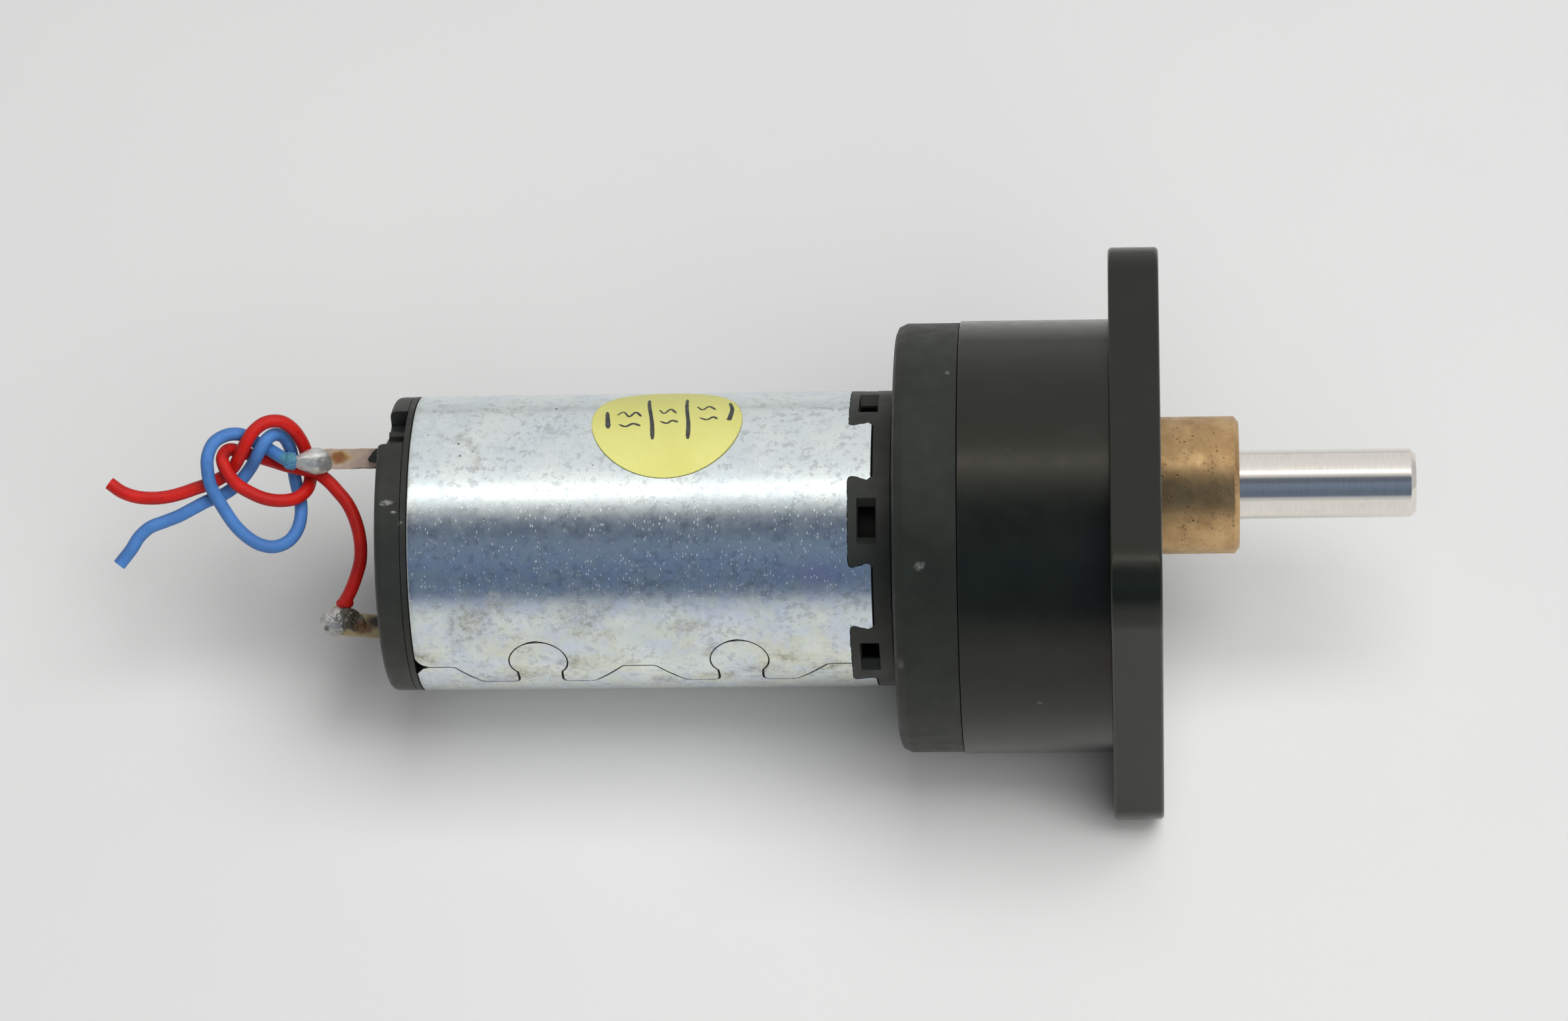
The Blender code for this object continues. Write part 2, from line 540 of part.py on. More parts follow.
RED_ROUTE = [
    (-95.54, -6.95, -0), (-94.69, -5.37, -0.01), (-94.04, -3.69, -0.05), (-93.58, -1.96, -0.15),
    (-93.53, -0.18, -0.31), (-93.81, 1.58, -0.53), (-94.35, 3.25, -0.79), (-95.16, 4.81, -1.08),
    (-96.27, 6.17, -1.37), (-97.49, 7.45, -1.65), (-98.91, 8.46, -1.89), (-100.67, 8.89, -1.8),
    (-102.42, 9.31, -1.86), (-104.09, 9.84, -2.32), (-105.78, 10.37, -2.28), (-107.47, 10.92, -1.54),
    (-109.01, 11.23, -0.54), (-109.57, 10.2, 0.7), (-108.93, 8.61, 1.36), (-107.85, 7.19, 1.01),
    (-106.37, 6.21, 0.61), (-104.74, 5.48, 0.19), (-102.98, 5.2, -0.29), (-101.26, 5.44, -0.9),
    (-100.09, 6.34, -1.77), (-99.8, 7.45, -3.07), (-99.87, 8.62, -3.68), (-100.05, 10.14, -3.15),
    (-100.35, 11.57, -2.15), (-100.8, 12.66, -1.23), (-101.48, 13.67, -0.43), (-102.69, 14.46, 0.3),
    (-104.35, 14.36, 0.93), (-105.79, 13.33, 1.26), (-106.8, 11.82, 1.11), (-107.61, 10.33, 0.48),
    (-108.45, 9.19, -0.32), (-109.64, 8.15, -0.52), (-111.22, 7.34, -0.56), (-112.92, 6.76, -0.51),
    (-114.63, 6.2, -0.46), (-116.37, 5.79, -0.39), (-118.16, 5.67, -0.3), (-119.94, 5.85, -0.2),
    (-121.63, 6.45, -0.1), (-123.08, 7.49, -0),
]


def smooth_route(points, per_span):
    """A Catmull-Rom curve through the route points."""
    pts = [Vector(p) for p in points]
    pts = [2 * pts[0] - pts[1]] + pts + [2 * pts[-1] - pts[-2]]
    out = []
    for i in range(1, len(pts) - 2):
        p0, p1, p2, p3 = pts[i - 1:i + 3]
        for k in range(per_span):
            t = k / per_span
            out.append(0.5 * (2 * p1 + (p2 - p0) * t + (2 * p0 - 5 * p1 + 4 * p2 - p3) * t ** 2
                              + (3 * p1 - p0 - 3 * p2 + p3) * t ** 3))
    out.append(pts[-2])
    return out


def even_points(points, count):
    """The same curve as count points at equal spacing."""
    reach = [0.0]
    for a, b in zip(points, points[1:]):
        reach.append(reach[-1] + (b - a).length)
    out = []
    k = 0
    for i in range(count):
        want = reach[-1] * i / (count - 1)
        while k < len(points) - 2 and reach[k + 1] < want:
            k += 1
        t = (want - reach[k]) / (reach[k + 1] - reach[k])
        out.append(points[k].lerp(points[k + 1], t))
    return out


def lead(name, route, mat, count):
    curve = bpy.data.curves.new(name, "CURVE")
    curve.dimensions = "3D"
    curve.bevel_depth = WIRE_D / 2 * MM
    curve.bevel_resolution = 2
    curve.use_fill_caps = True
    spline = curve.splines.new("POLY")
    points = even_points(smooth_route(route, 12), count)
    spline.points.add(count - 1)
    for point, co in zip(spline.points, points):
        point.co = (*(co * MM), 1.0)
    return adopt(bpy.data.objects.new(name, curve), mat, brush_frame)


lead("lead_wire_blue", BLUE_ROUTE, BLUE_PVC, 50)
lead("lead_wire_red", RED_ROUTE, RED_PVC, 56)

# ---------------------------------------------------------------- round label on the can
label = turned("can_label", [(-46.0, rm + 0.3), (-67.0, rm + 0.3), (-67.0, rm + 0.15), (-46.0, rm + 0.15)], LABEL)
disc = bpy.data.meshes.new("label_disc")
bm = bmesh.new()
bmesh.ops.create_cone(bm, cap_ends=True, segments=32, radius1=8.7 * MM, radius2=8.7 * MM, depth=14 * MM)
bm.to_mesh(disc)
bm.free()
label_disc = bpy.data.objects.new("label_disc", disc)
LABEL_DEG = 180 - 107
label_angle = math.radians(LABEL_DEG)
label_disc.location = (-56.5 * MM, 17 * math.cos(label_angle) * MM, 17 * math.sin(label_angle) * MM)
label_disc.rotation_euler = (label_angle - math.pi / 2, 0.0, 0.0)
adopt(label_disc, None, root, tools)
combine(label, label_disc, "INTERSECT")

for obj in parts.objects:
    if obj.type == "MESH" and not obj.modifiers:
        obj.data.shade_smooth()
        obj.data.set_sharp_from_angle(angle=math.radians(35))
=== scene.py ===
"""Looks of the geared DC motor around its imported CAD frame.

Shapes are written in millimetres in the motor's own frame: the origin is the centre of the flange's
front face on the axis of the motor and the gearbox, +X runs toward the output shaft's tip and +Z is
up. "alpha" is an angle about that axis, from -Y toward +Z. The brush line is a second frame, turned
about X, in which the terminals and the leads lie.
"""

import math

import bmesh
import bpy
from mathutils import Matrix, Vector, noise


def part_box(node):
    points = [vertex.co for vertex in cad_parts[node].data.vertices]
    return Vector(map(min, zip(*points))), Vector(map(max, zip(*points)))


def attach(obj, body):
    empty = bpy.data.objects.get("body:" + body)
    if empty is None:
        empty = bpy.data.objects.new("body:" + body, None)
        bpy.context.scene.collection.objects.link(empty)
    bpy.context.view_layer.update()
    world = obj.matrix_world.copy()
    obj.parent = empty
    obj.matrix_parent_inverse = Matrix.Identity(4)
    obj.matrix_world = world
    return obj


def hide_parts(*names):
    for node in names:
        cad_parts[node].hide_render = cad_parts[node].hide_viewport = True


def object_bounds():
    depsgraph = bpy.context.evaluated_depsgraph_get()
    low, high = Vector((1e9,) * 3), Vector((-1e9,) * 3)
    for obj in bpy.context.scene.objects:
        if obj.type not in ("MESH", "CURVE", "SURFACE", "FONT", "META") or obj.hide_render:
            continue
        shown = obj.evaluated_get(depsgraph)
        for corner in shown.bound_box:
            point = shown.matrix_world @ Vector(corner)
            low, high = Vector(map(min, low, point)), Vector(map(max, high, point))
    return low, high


noise.seed_set(7)          # noise_vector starts from the clock unless it is seeded
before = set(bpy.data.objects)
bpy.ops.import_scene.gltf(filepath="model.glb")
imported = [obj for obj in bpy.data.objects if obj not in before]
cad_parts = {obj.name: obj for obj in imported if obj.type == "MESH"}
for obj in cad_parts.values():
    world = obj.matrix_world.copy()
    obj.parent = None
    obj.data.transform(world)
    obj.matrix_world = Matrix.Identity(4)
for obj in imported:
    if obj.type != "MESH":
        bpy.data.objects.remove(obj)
cad_bounds = [list(corner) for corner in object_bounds()]

MM = 0.001
FINE = 288                 # sides of the large turned pieces
FLAT_AREA = 4e-5           # a face larger than this, in square metres, keeps its own normal
SAME_RADIUS = 6e-6         # metres between the nearest and the farthest corner of a round face
FACES_OUT = 0.985          # cosine between a round face and its own spokes

# ---------------------------------------------------------------- places from the frame
can_lo, can_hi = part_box("motor_can")
flange_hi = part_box("gearbox_housing")[1]
ORIGIN = Vector((flange_hi.x, (can_lo.y + can_hi.y) / 2, (can_lo.z + can_hi.z) / 2))


def box_mm(node):
    """A CAD node's corners in the motor's frame, in mm."""
    low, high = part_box(node)
    return (low - ORIGIN) / MM, (high - ORIGIN) / MM


CAN_LO, CAN_HI = box_mm("motor_can")
CAN_R = (CAN_HI.z - CAN_LO.z) / 2
CAN_BORE = CAN_R - 1.8
CAN_REAR, CAN_FRONT = CAN_LO.x - 0.1, CAN_HI.x
CAP_HI = box_mm("rear_cap")[1]
PLATE_LO = box_mm("brush_plate")[0]
SHIELD_HI = box_mm("front_shield")[1]
COVER_LO, COVER_HI = box_mm("gearbox_cover")
COVER_R = (COVER_HI.z - COVER_LO.z) / 2
HOUSE_LO, HOUSE_HI = box_mm("gearbox_housing")
FLANGE_SIDE = HOUSE_HI.z - HOUSE_LO.z
FLANGE_T = 5.8
HOUSE_R = COVER_R + 0.2
ROOM_R = 22.6
BUSH_LO, BUSH_HI = box_mm("output_bush")
BUSH_Y = (BUSH_LO.y + BUSH_HI.y) / 2
BUSH_R = (BUSH_HI.z - BUSH_LO.z) / 2
SHAFT_LO, SHAFT_HI = box_mm("output_shaft")
SHAFT_R = (SHAFT_HI.z - SHAFT_LO.z) / 2
BRUSH_LINE = math.radians(34.8)
COLUMN_R = 20.2
COLUMNS = [(COLUMN_R * math.cos(math.radians(a)),
            COLUMN_R * math.sin(math.radians(a))) for a in (60, -60, -120)]
MOTOR_SCREWS = [(12.0 * math.cos(math.radians(a)), 12.0 * math.sin(math.radians(a))) for a in (-30, 150)]


def brush_line(x, v, w):
    """A point on the brush line's frame, in the motor's frame."""
    c, s = math.cos(BRUSH_LINE), math.sin(BRUSH_LINE)
    return Vector((x, v * c - w * s, v * s + w * c))


def on_radius(x, radius, alpha):
    return Vector((x, -radius * math.cos(alpha), radius * math.sin(alpha)))


# ---------------------------------------------------------------- mesh helpers
def rounded(corners, closed=True, steps=5):
    """Outline points from (a, b, radius) corners, each corner cut by a curve of about that radius."""
    out = []
    count = len(corners)
    for i, (a, b, radius) in enumerate(corners):
        here = Vector((a, b))
        if radius <= 0 or (not closed and i in (0, count - 1)):
            out.append((a, b))
            continue
        before = Vector(corners[i - 1][:2]) - here
        after = Vector(corners[(i + 1) % count][:2]) - here
        half = before.angle(after) / 2
        reach = min(radius / math.tan(half), before.length * 0.49, after.length * 0.49)
        p, q = here + before.normalized() * reach, here + after.normalized() * reach
        for k in range(steps + 1):
            t = k / steps
            out.append(tuple(p * (1 - t) ** 2 + here * 2 * t * (1 - t) + q * t * t))
    return out


def lathe(profile, sides=FINE, y=0.0, z=0.0, bm=None):
    """Turn a profile of (x, radius) about an axis along X. One that starts on the axis is solid there."""
    bm = bm or bmesh.new()
    rings = []
    for x, radius in profile:
        if radius <= 1e-6:
            rings.append([bm.verts.new((x, y, z))])
        else:
            rings.append([bm.verts.new((x, y + radius * math.cos(a), z + radius * math.sin(a)))
                          for a in (2 * math.pi * k / sides for k in range(sides))])
    pairs = list(zip(rings, rings[1:]))
    if len(rings[0]) > 1:
        pairs.append((rings[-1], rings[0]))
    for one, two in pairs:
        for k in range(sides):
            n = (k + 1) % sides
            corners = [one[k % len(one)], one[n % len(one)], two[n % len(two)], two[k % len(two)]]
            corners = [c for i, c in enumerate(corners) if c not in corners[:i]]
            if len(corners) > 2:
                bm.faces.new(corners)
    return bm


def loft(sections, bm=None):
    """A solid through closed sections of equal length."""
    bm = bm or bmesh.new()
    rows = [[bm.verts.new(p) for p in section] for section in sections]
    for one, two in zip(rows, rows[1:]):
        for k in range(len(one)):
            n = (k + 1) % len(one)
            bm.faces.new((one[k], one[n], two[n], two[k]))
    bm.faces.new(rows[0])
    bm.faces.new(rows[-1])
    return bm


def prism(outline, r0, r1, alpha, bm=None, shrink=None):
    """A solid that stands on the axis at alpha: the outline is (x, along the tangent) at both radii.

    shrink gives the outline at r0 where it differs from the one at r1.
    """
    c, s = math.cos(alpha), math.sin(alpha)

    def place(points, radius):
        return [(x, -c * radius + s * t, s * radius + c * t) for x, t in points]
    return loft([place(shrink or outline, r0), place(outline, r1)], bm)


def slab(x0, x1, outline, bm=None):
    """A plate between x0 and x1 from an outline in (Y, Z)."""
    return loft([[(x, y, z) for y, z in outline] for x in (x0, x1)], bm)


def ribbon(path, widths, r0, r1, bm=None, flare=(1.0, 1.0)):
    """A strip wrapped on the can between two radii. The path is (x, arc) points at the can's radius.

    flare scales the width at r0 and at r1.
    """
    bm = bm or bmesh.new()
    sections = []
    for i, (x, arc) in enumerate(path):
        ahead = Vector(path[min(i + 1, len(path) - 1)])
        back = Vector(path[max(i - 1, 0)])
        run = (ahead - back).normalized()
        side = Vector((-run.y, run.x)) * widths[i] / 2
        corners = []
        for radius, sign in ((r0, -flare[0]), (r0, flare[0]), (r1, flare[1]), (r1, -flare[1])):
            corners.append(on_radius(x + sign * side.x, radius, (arc + sign * side.y) / CAN_R))
        sections.append(corners)
    return loft(sections, bm)


def new_object(name, bm):
    """An object in the row frame whose own origin is the motor's frame."""
    bmesh.ops.recalc_face_normals(bm, faces=bm.faces)
    mesh = bpy.data.meshes.new(name)
    bm.to_mesh(mesh)
    bm.free()
    mesh.transform(Matrix.Scale(MM, 4))
    obj = bpy.data.objects.new(name, mesh)
    obj.location = ORIGIN
    bpy.context.scene.collection.objects.link(obj)
    return obj


def apply_modifiers(obj):
    """Keep the evaluated mesh and drop the modifiers that made it."""
    graph = bpy.context.evaluated_depsgraph_get()
    mesh = bpy.data.meshes.new_from_object(obj.evaluated_get(graph))
    old = obj.data
    obj.modifiers.clear()
    obj.data = mesh
    bpy.data.meshes.remove(old)
    return obj


def cut(obj, bm, operation="DIFFERENCE"):
    """One exact boolean with a solid made for it, applied at once."""
    tool = new_object("tool", bm)
    mod = obj.modifiers.new("cut", "BOOLEAN")
    mod.operation = operation
    mod.solver = "EXACT"
    mod.object = tool
    bpy.context.view_layer.update()
    apply_modifiers(obj)
    bpy.data.objects.remove(tool, do_unlink=True)
    return obj


def clean(obj):
    """Merge doubled points and drop faces without area after the booleans."""
    bm = bmesh.new()
    bm.from_mesh(obj.data)
    bmesh.ops.remove_doubles(bm, verts=bm.verts, dist=1e-6)
    bmesh.ops.dissolve_degenerate(bm, dist=1e-7, edges=bm.edges)
    bmesh.ops.recalc_face_normals(bm, faces=bm.faces)
    bm.to_mesh(obj.data)
    bm.free()
    return obj


def shade(obj, y=None, z=0.0, angle=34):
    """Smooth shading with true radial normals on faces that belong to a cylinder about (y, z)."""
    mesh = obj.data
    mesh.shade_smooth()
    mesh.set_sharp_from_angle(angle=math.radians(angle))
    if y is None:
        return obj
    normals = [Vector(n.vector) for n in mesh.corner_normals]
    flats = {}
    for face in mesh.polygons:
        if face.area > FLAT_AREA:
            for index in face.vertices:
                flats.setdefault(index, []).append(face.normal.copy())
    for face in mesh.polygons:
        for loop, index in zip(face.loop_indices, face.vertices):
            near = [n for n in flats.get(index, ()) if n.dot(face.normal) > math.cos(math.radians(angle))]
            if near:
                normals[loop] = max(near, key=face.normal.dot)
    axis = Vector((0.0, y * MM, z * MM))
    for face in mesh.polygons:
        if abs(face.normal.x) > 0.01:
            continue
        spokes = []
        for index in face.vertices:
            spoke = mesh.vertices[index].co - axis
            spoke.x = 0.0
            spokes.append(spoke)
        lengths = [s.length for s in spokes]
        if max(lengths) - min(lengths) > SAME_RADIUS or min(lengths) < 1e-5:
            continue
        sign = 1.0 if face.normal.dot(spokes[0]) > 0 else -1.0
        if min(abs(face.normal.dot(spoke.normalized())) for spoke in spokes) < FACES_OUT:
            continue
        for loop, spoke in zip(face.loop_indices, spokes):
            normals[loop] = spoke.normalized() * sign
    mesh.normals_split_custom_set(normals)
    return obj


def piece(obj, mat, slot, *nodes, body="casing"):
    """Give a finished object its material, its body and the CAD nodes it stands for."""
    obj.data.materials.clear()
    obj.data.materials.append(mat)
    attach(obj, body)
    if nodes:
        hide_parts(*nodes)
    return obj


# ---------------------------------------------------------------- material helpers
class Paint:
    """A material's node tree, written as expressions. Places are in metres in the object's frame."""

    def __init__(self, name, **sockets):
        self.mat = bpy.data.materials.new(name)
        self.mat.use_nodes = True
        self.tree = self.mat.node_tree
        self.shader = self.tree.nodes["Principled BSDF"]
        for key, value in sockets.items():
            self.shader.inputs[key.replace("_", " ").title().replace("Ior", "IOR")].default_value = value
        self.place = self.add("ShaderNodeTexCoord").outputs["Object"]

    def add(self, kind, *links, **props):
        node = self.tree.nodes.new(kind)
        for key, value in props.items():
            setattr(node, key, value)
        for socket, value in links:
            if isinstance(value, bpy.types.NodeSocket):
                self.tree.links.new(value, node.inputs[socket])
            else:
                node.inputs[socket].default_value = value
        return node

    def math(self, operation, *values):
        return self.add("ShaderNodeMath", *enumerate(values), operation=operation).outputs[0]

    def noise(self, scale, detail=3.0, roughness=0.5, stretch=(1, 1, 1), shift=(0, 0, 0), distortion=0.0):
        spot = self.add("ShaderNodeMapping", ("Vector", self.place), ("Scale", stretch),
                        ("Location", shift))
        return self.add("ShaderNodeTexNoise", ("Vector", spot.outputs[0]), ("Scale", scale),
                        ("Detail", detail),
                        ("Roughness", roughness), ("Distortion", distortion)).outputs["Fac"]

    def cells(self, scale, feature="F1", stretch=(1, 1, 1), shift=(0, 0, 0)):
        spot = self.add("ShaderNodeMapping", ("Vector", self.place), ("Scale", stretch),
                        ("Location", shift))
        return self.add("ShaderNodeTexVoronoi", ("Vector", spot.outputs[0]), ("Scale", scale),
                        feature=feature)

    def flecks(self, scale, stretch, size, share):
        """Sparse small marks drawn out along a slant on the can."""
        spot = self.add("ShaderNodeMapping", ("Vector", self.place),
                        ("Rotation", (0.0, 0.0, math.radians(38))),
                        ("Scale", stretch))
        cells = self.add("ShaderNodeTexVoronoi", ("Vector", spot.outputs[0]), ("Scale", scale))
        pick = self.add("ShaderNodeSeparateColor", (0, cells.outputs["Color"])).outputs[0]
        near = self.remap(cells.outputs["Distance"], size * 0.5, size, 1.0, 0.0)
        return self.math("MULTIPLY", near, self.math("LESS_THAN", pick, share))

    def remap(self, value, low, high, to_low=0.0, to_high=1.0):
        return self.add("ShaderNodeMapRange", ("Value", value), ("From Min", low), ("From Max", high),
                        ("To Min", to_low), ("To Max", to_high),
                        interpolation_type="SMOOTHSTEP").outputs["Result"]

    def mix(self, factor, a, b, blend="MIX"):
        node = self.add("ShaderNodeMix", data_type="RGBA", blend_type=blend)
        for socket, value in (("Factor_Float", factor), ("A_Color", a), ("B_Color", b)):
            target = next(s for s in node.inputs if s.identifier == socket)
            if isinstance(value, bpy.types.NodeSocket):
                self.tree.links.new(value, target)
            elif isinstance(value, tuple):
                target.default_value = (*value, 1.0) if len(value) == 3 else value
            else:
                target.default_value = value
        return next(s for s in node.outputs if s.identifier == "Result_Color")

    def patch(self, centre, radii, soft=0.35, wobble=0.0, wobble_scale=400.0):
        """1 inside an ellipsoid about a point in mm, falling to 0 at its edge."""
        place = self.place
        if wobble:
            field = self.add("ShaderNodeTexNoise", ("Vector", place), ("Scale", wobble_scale),
                             ("Detail", 3.0)).outputs["Color"]
            half = self.add("ShaderNodeVectorMath", (0, field), (1, (0.5, 0.5, 0.5)), operation="SUBTRACT")
            push = self.add("ShaderNodeVectorMath", (0, half.outputs[0]), ("Scale", wobble * MM),
                            operation="SCALE")
            place = self.add("ShaderNodeVectorMath", (0, place), (1, push.outputs[0])).outputs[0]
        away = self.add("ShaderNodeVectorMath", (0, place), (1, tuple(c * MM for c in centre)),
                        operation="SUBTRACT")
        scaled = self.add("ShaderNodeVectorMath", (0, away.outputs[0]),
                          (1, tuple(1 / (r * MM) for r in radii)),
                          operation="MULTIPLY")
        reach = self.add("ShaderNodeVectorMath", (0, scaled.outputs[0]),
                         operation="LENGTH").outputs["Value"]
        return self.remap(reach, 1.0 - soft, 1.0, 1.0, 0.0)

    def radius(self):
        """Distance from the motor's axis."""
        flat = self.add("ShaderNodeVectorMath", (0, self.place), (1, (0.0, 1.0, 1.0)), operation="MULTIPLY")
        return self.add("ShaderNodeVectorMath", (0, flat.outputs[0]), operation="LENGTH").outputs["Value"]

    def most(self, *values):
        out = values[0]
        for value in values[1:]:
            out = self.math("MAXIMUM", out, value)
        return out

    def color(self, value):
        self.tree.links.new(value, self.shader.inputs["Base Color"])
        return self

    def rough(self, value):
        self.tree.links.new(value, self.shader.inputs["Roughness"])
        return self

    def metal(self, value):
        self.tree.links.new(value, self.shader.inputs["Metallic"])
        return self

    def bump(self, height, strength, depth_mm):
        node = self.add("ShaderNodeBump", ("Height", height), ("Strength", strength),
                        ("Distance", depth_mm * MM))
        last = self.shader.inputs["Normal"]
        if last.links:
            self.tree.links.new(last.links[0].from_socket, node.inputs["Normal"])
        self.tree.links.new(node.outputs[0], last)
        return self


def specks(paint, scale, size, share, shift=(0, 0, 0)):
    """Sparse dots: 1 inside a dot. share is the part of the cells that have one."""
    cells = paint.cells(scale, shift=shift)
    pick = paint.add("ShaderNodeSeparateColor", (0, cells.outputs["Color"])).outputs[0]
    near = paint.remap(cells.outputs["Distance"], size * 0.5, size, 1.0, 0.0)
    return paint.math("MULTIPLY", near, paint.math("LESS_THAN", pick, share))


def zinc():
    """Worn zinc plate: crystals, film, stains, smut, scratches with painted glints, a blue tint painted as
    reflection colour, and the rolled groove with painted shade inside.
    """
    p = Paint("zinc_plate", metallic=1.0, roughness=0.3)
    cloud = p.noise(160, 4, 0.6)
    fine = p.noise(1500, 4, 0.65, shift=(0.3, 0.1, 0.2))
    crystal = p.cells(900).outputs["Color"]
    crystal = p.add("ShaderNodeSeparateColor", (0, crystal)).outputs[0]
    tone = p.mix(p.remap(cloud, 0.3, 0.7), (0.70, 0.775, 0.79), (0.80, 0.85, 0.82))
    tone = p.mix(p.math("MULTIPLY", crystal, 0.09), tone, (0.52, 0.60, 0.63))
    tone = p.mix(p.remap(fine, 0.60, 0.78, 0.0, 0.22), tone, (0.44, 0.47, 0.46))
    height = p.add("ShaderNodeSeparateXYZ", (0, p.place)).outputs[2]
    film = p.math("MULTIPLY", p.remap(height, 3.5 * MM, 9.5 * MM, 0.75, 0.0),
                  p.remap(p.noise(260, 4, 0.65, shift=(0.5, 0.3, 0.2)), 0.35, 0.65, 0.25, 1.0))
    tone = p.mix(film, tone, (0.70, 0.70, 0.57))
    # painted reflection: a blue tint everywhere but the top of the can, in place of the dark blue
    # surroundings that the plate reflects; the top, which reflects the bright light above, stays clear of it
    blue = p.math("MULTIPLY", p.remap(p.noise(330, 4, 0.65, shift=(0.8, 0.6, 0.1)), 0.40, 0.62),
                  p.remap(height, 13.6 * MM, 12.4 * MM, 0.0, 1.0))
    tone = p.mix(p.math("MULTIPLY", blue, 0.38), tone, (0.56, 0.64, 0.92))
    smut = p.math("MULTIPLY", p.remap(p.noise(1000, 4, 0.7, shift=(0.4, 0.9, 0.3)), 0.50, 0.60),
                  p.remap(p.noise(220, 3, 0.6), 0.40, 0.58, 0.2, 0.55))
    tone = p.mix(smut, tone, (0.42, 0.44, 0.45))
    streak = p.noise(420, 3, 0.6, stretch=(6, 0.35, 0.35), shift=(0.7, 0, 0))
    tone = p.mix(p.remap(streak, 0.55, 0.8, 0.0, 0.25), tone, (0.92, 0.95, 0.93))
    tint = p.patch(on_radius(-39.5, CAN_R, 0.74), (4.6, 1.6, 2.4), 0.9, 1.5)
    tone = p.mix(p.math("MULTIPLY", tint, 0.45), tone, (0.62, 0.50, 0.86))
    stain = p.most(*(p.patch(on_radius(x, CAN_R, math.radians(a)), (rx * 1.15, rs * 1.2, rs * 1.2), 0.95,
                             5.0, 260.0)
                     for x, a, rx,
                     rs in ((-79.2, 23, 3.4, 3.4), (-76.0, 34, 1.8, 1.6), (-81.2, 14, 1.6, 1.8),
                                          (-66.0, 24, 3.6, 2.2), (-63.2, 30, 1.5, 1.1),
                                          (-63.6, 16, 1.6, 1.2),
                                          (-73.4, -6, 4.5, 2.0), (-67.0, 0, 3.0, 2.2),
                                          (-57.6, -12, 2.5, 1.6),
                                          (-84.4, 4, 1.8, 2.4), (-51.5, 8, 1.5, 1.2), (-46.5, -6, 3.4, 1.4),
                                          (-43.5, 6, 3.0, 1.6), (-54.0, 22, 2.2, 1.4),
                                          (-38.5, -2, 2.4, 1.6),
                                          (-50.5, -11, 2.6, 1.4), (-76.5, -10, 3.0, 1.2))))
    grit = p.remap(p.noise(1300, 5, 0.75, shift=(0.1, 0.5, 0.9)), 0.46, 0.62)
    grime = p.math("MULTIPLY", stain, p.math("ADD", p.math("MULTIPLY", grit, 0.55), 0.20))
    arc = p.patch(on_radius(-80.4, CAN_R, math.radians(92)), (3.6, 3.4, 3.4), 0.28, 2.6)
    inner = p.patch(on_radius(-81.6, CAN_R, math.radians(89)), (3.0, 2.9, 2.9), 0.25, 2.6)
    ring = p.math("SUBTRACT", arc, inner)
    ring = p.math("MULTIPLY", p.math("MAXIMUM", ring, 0.0),
                  p.remap(p.noise(900, 3, 0.6), 0.42, 0.62, 0.05, 0.32))
    grime = p.math("MAXIMUM", grime, ring)
    dots = p.most(specks(p, 330, 0.055, 0.35), specks(p, 620, 0.06, 0.30, (0.4, 0.2, 0.1)),
                  specks(p, 1400, 0.10, 0.16, (0.1, 0.6, 0.3)))
    lone = p.most(*(p.patch(on_radius(x, CAN_R, math.radians(a)), (s, s, s), 0.5)
                    for x, a,
                    s in ((-55.8, 102, 0.20), (-77.0, 64.4, 0.16), (-69.5, 119, 0.22), (-64.7, 86, 0.12),
                                    (-80.3, 97, 0.20), (-80.0, 91, 0.16), (-78.6, 93, 0.12),
                                    (-83.9, 102, 0.12))))
    dots = p.math("MAXIMUM", p.math("MULTIPLY", dots, 0.6), lone)
    edge = p.add("ShaderNodeSeparateXYZ", (0, p.place)).outputs[0]
    rim = p.math("MULTIPLY", p.remap(edge, CAN_REAR * MM, (CAN_REAR + 1.1) * MM, 1.0, 0.0),
                 p.remap(p.noise(500, 4, 0.7), 0.35, 0.65, 0.1, 0.6))
    tone = p.mix(p.math("MULTIPLY", rim, 0.7), tone, (0.30, 0.29, 0.22))
    tone = p.mix(grime, tone, (0.215, 0.185, 0.115))
    tone = p.mix(dots, tone, (0.11, 0.105, 0.08))
    # small pale flecks: nicks raised by bump, also painted paler and less metallic as painted glints that
    # stay bright where the plate reflects dark surroundings
    nicks_and_painted_glints = p.math("MULTIPLY", p.flecks(1900, (2.0, 0.62, 1.0), 0.30, 0.50),
                   p.remap(p.noise(300, 3, 0.6, shift=(0.9, 0.1, 0.4)), 0.30, 0.55))
    tone = p.mix(p.math("MULTIPLY", nicks_and_painted_glints, 0.40), tone, (0.88, 0.91, 0.92))
    # painted shade: the floor of the seam groove is painted near black and dull
    groove = p.remap(p.radius(), (CAN_R - 0.14) * MM, (CAN_R - 0.03) * MM, 1.0, 0.0)
    tone = p.mix(groove, tone, (0.020, 0.022, 0.018))
    p.color(tone)
    # mask for metal and roughness: dirt, specks, the painted glints and the painted shade in the groove
    dirt_and_painted_light = p.most(grime, p.math("MULTIPLY", dots, 0.8), p.math("MULTIPLY", nicks_and_painted_glints, 0.42), groove)
    p.metal(p.remap(dirt_and_painted_light, 0.0, 1.0, 1.0, 0.15))
    base = p.remap(p.noise(700, 4, 0.6, shift=(0.2, 0.8, 0)), 0.3, 0.7, 0.17, 0.27)
    p.rough(p.math("ADD", base, p.math("MULTIPLY", dirt_and_painted_light, 0.35)))
    p.bump(p.noise(2600, 4, 0.7), 0.30, 0.010)
    p.bump(p.noise(350, 4, 0.6, stretch=(5, 0.5, 0.5)), 0.18, 0.010)
    p.bump(dots, 0.5, -0.02)
    p.bump(nicks_and_painted_glints, 0.5, 0.015)
    return p.mat


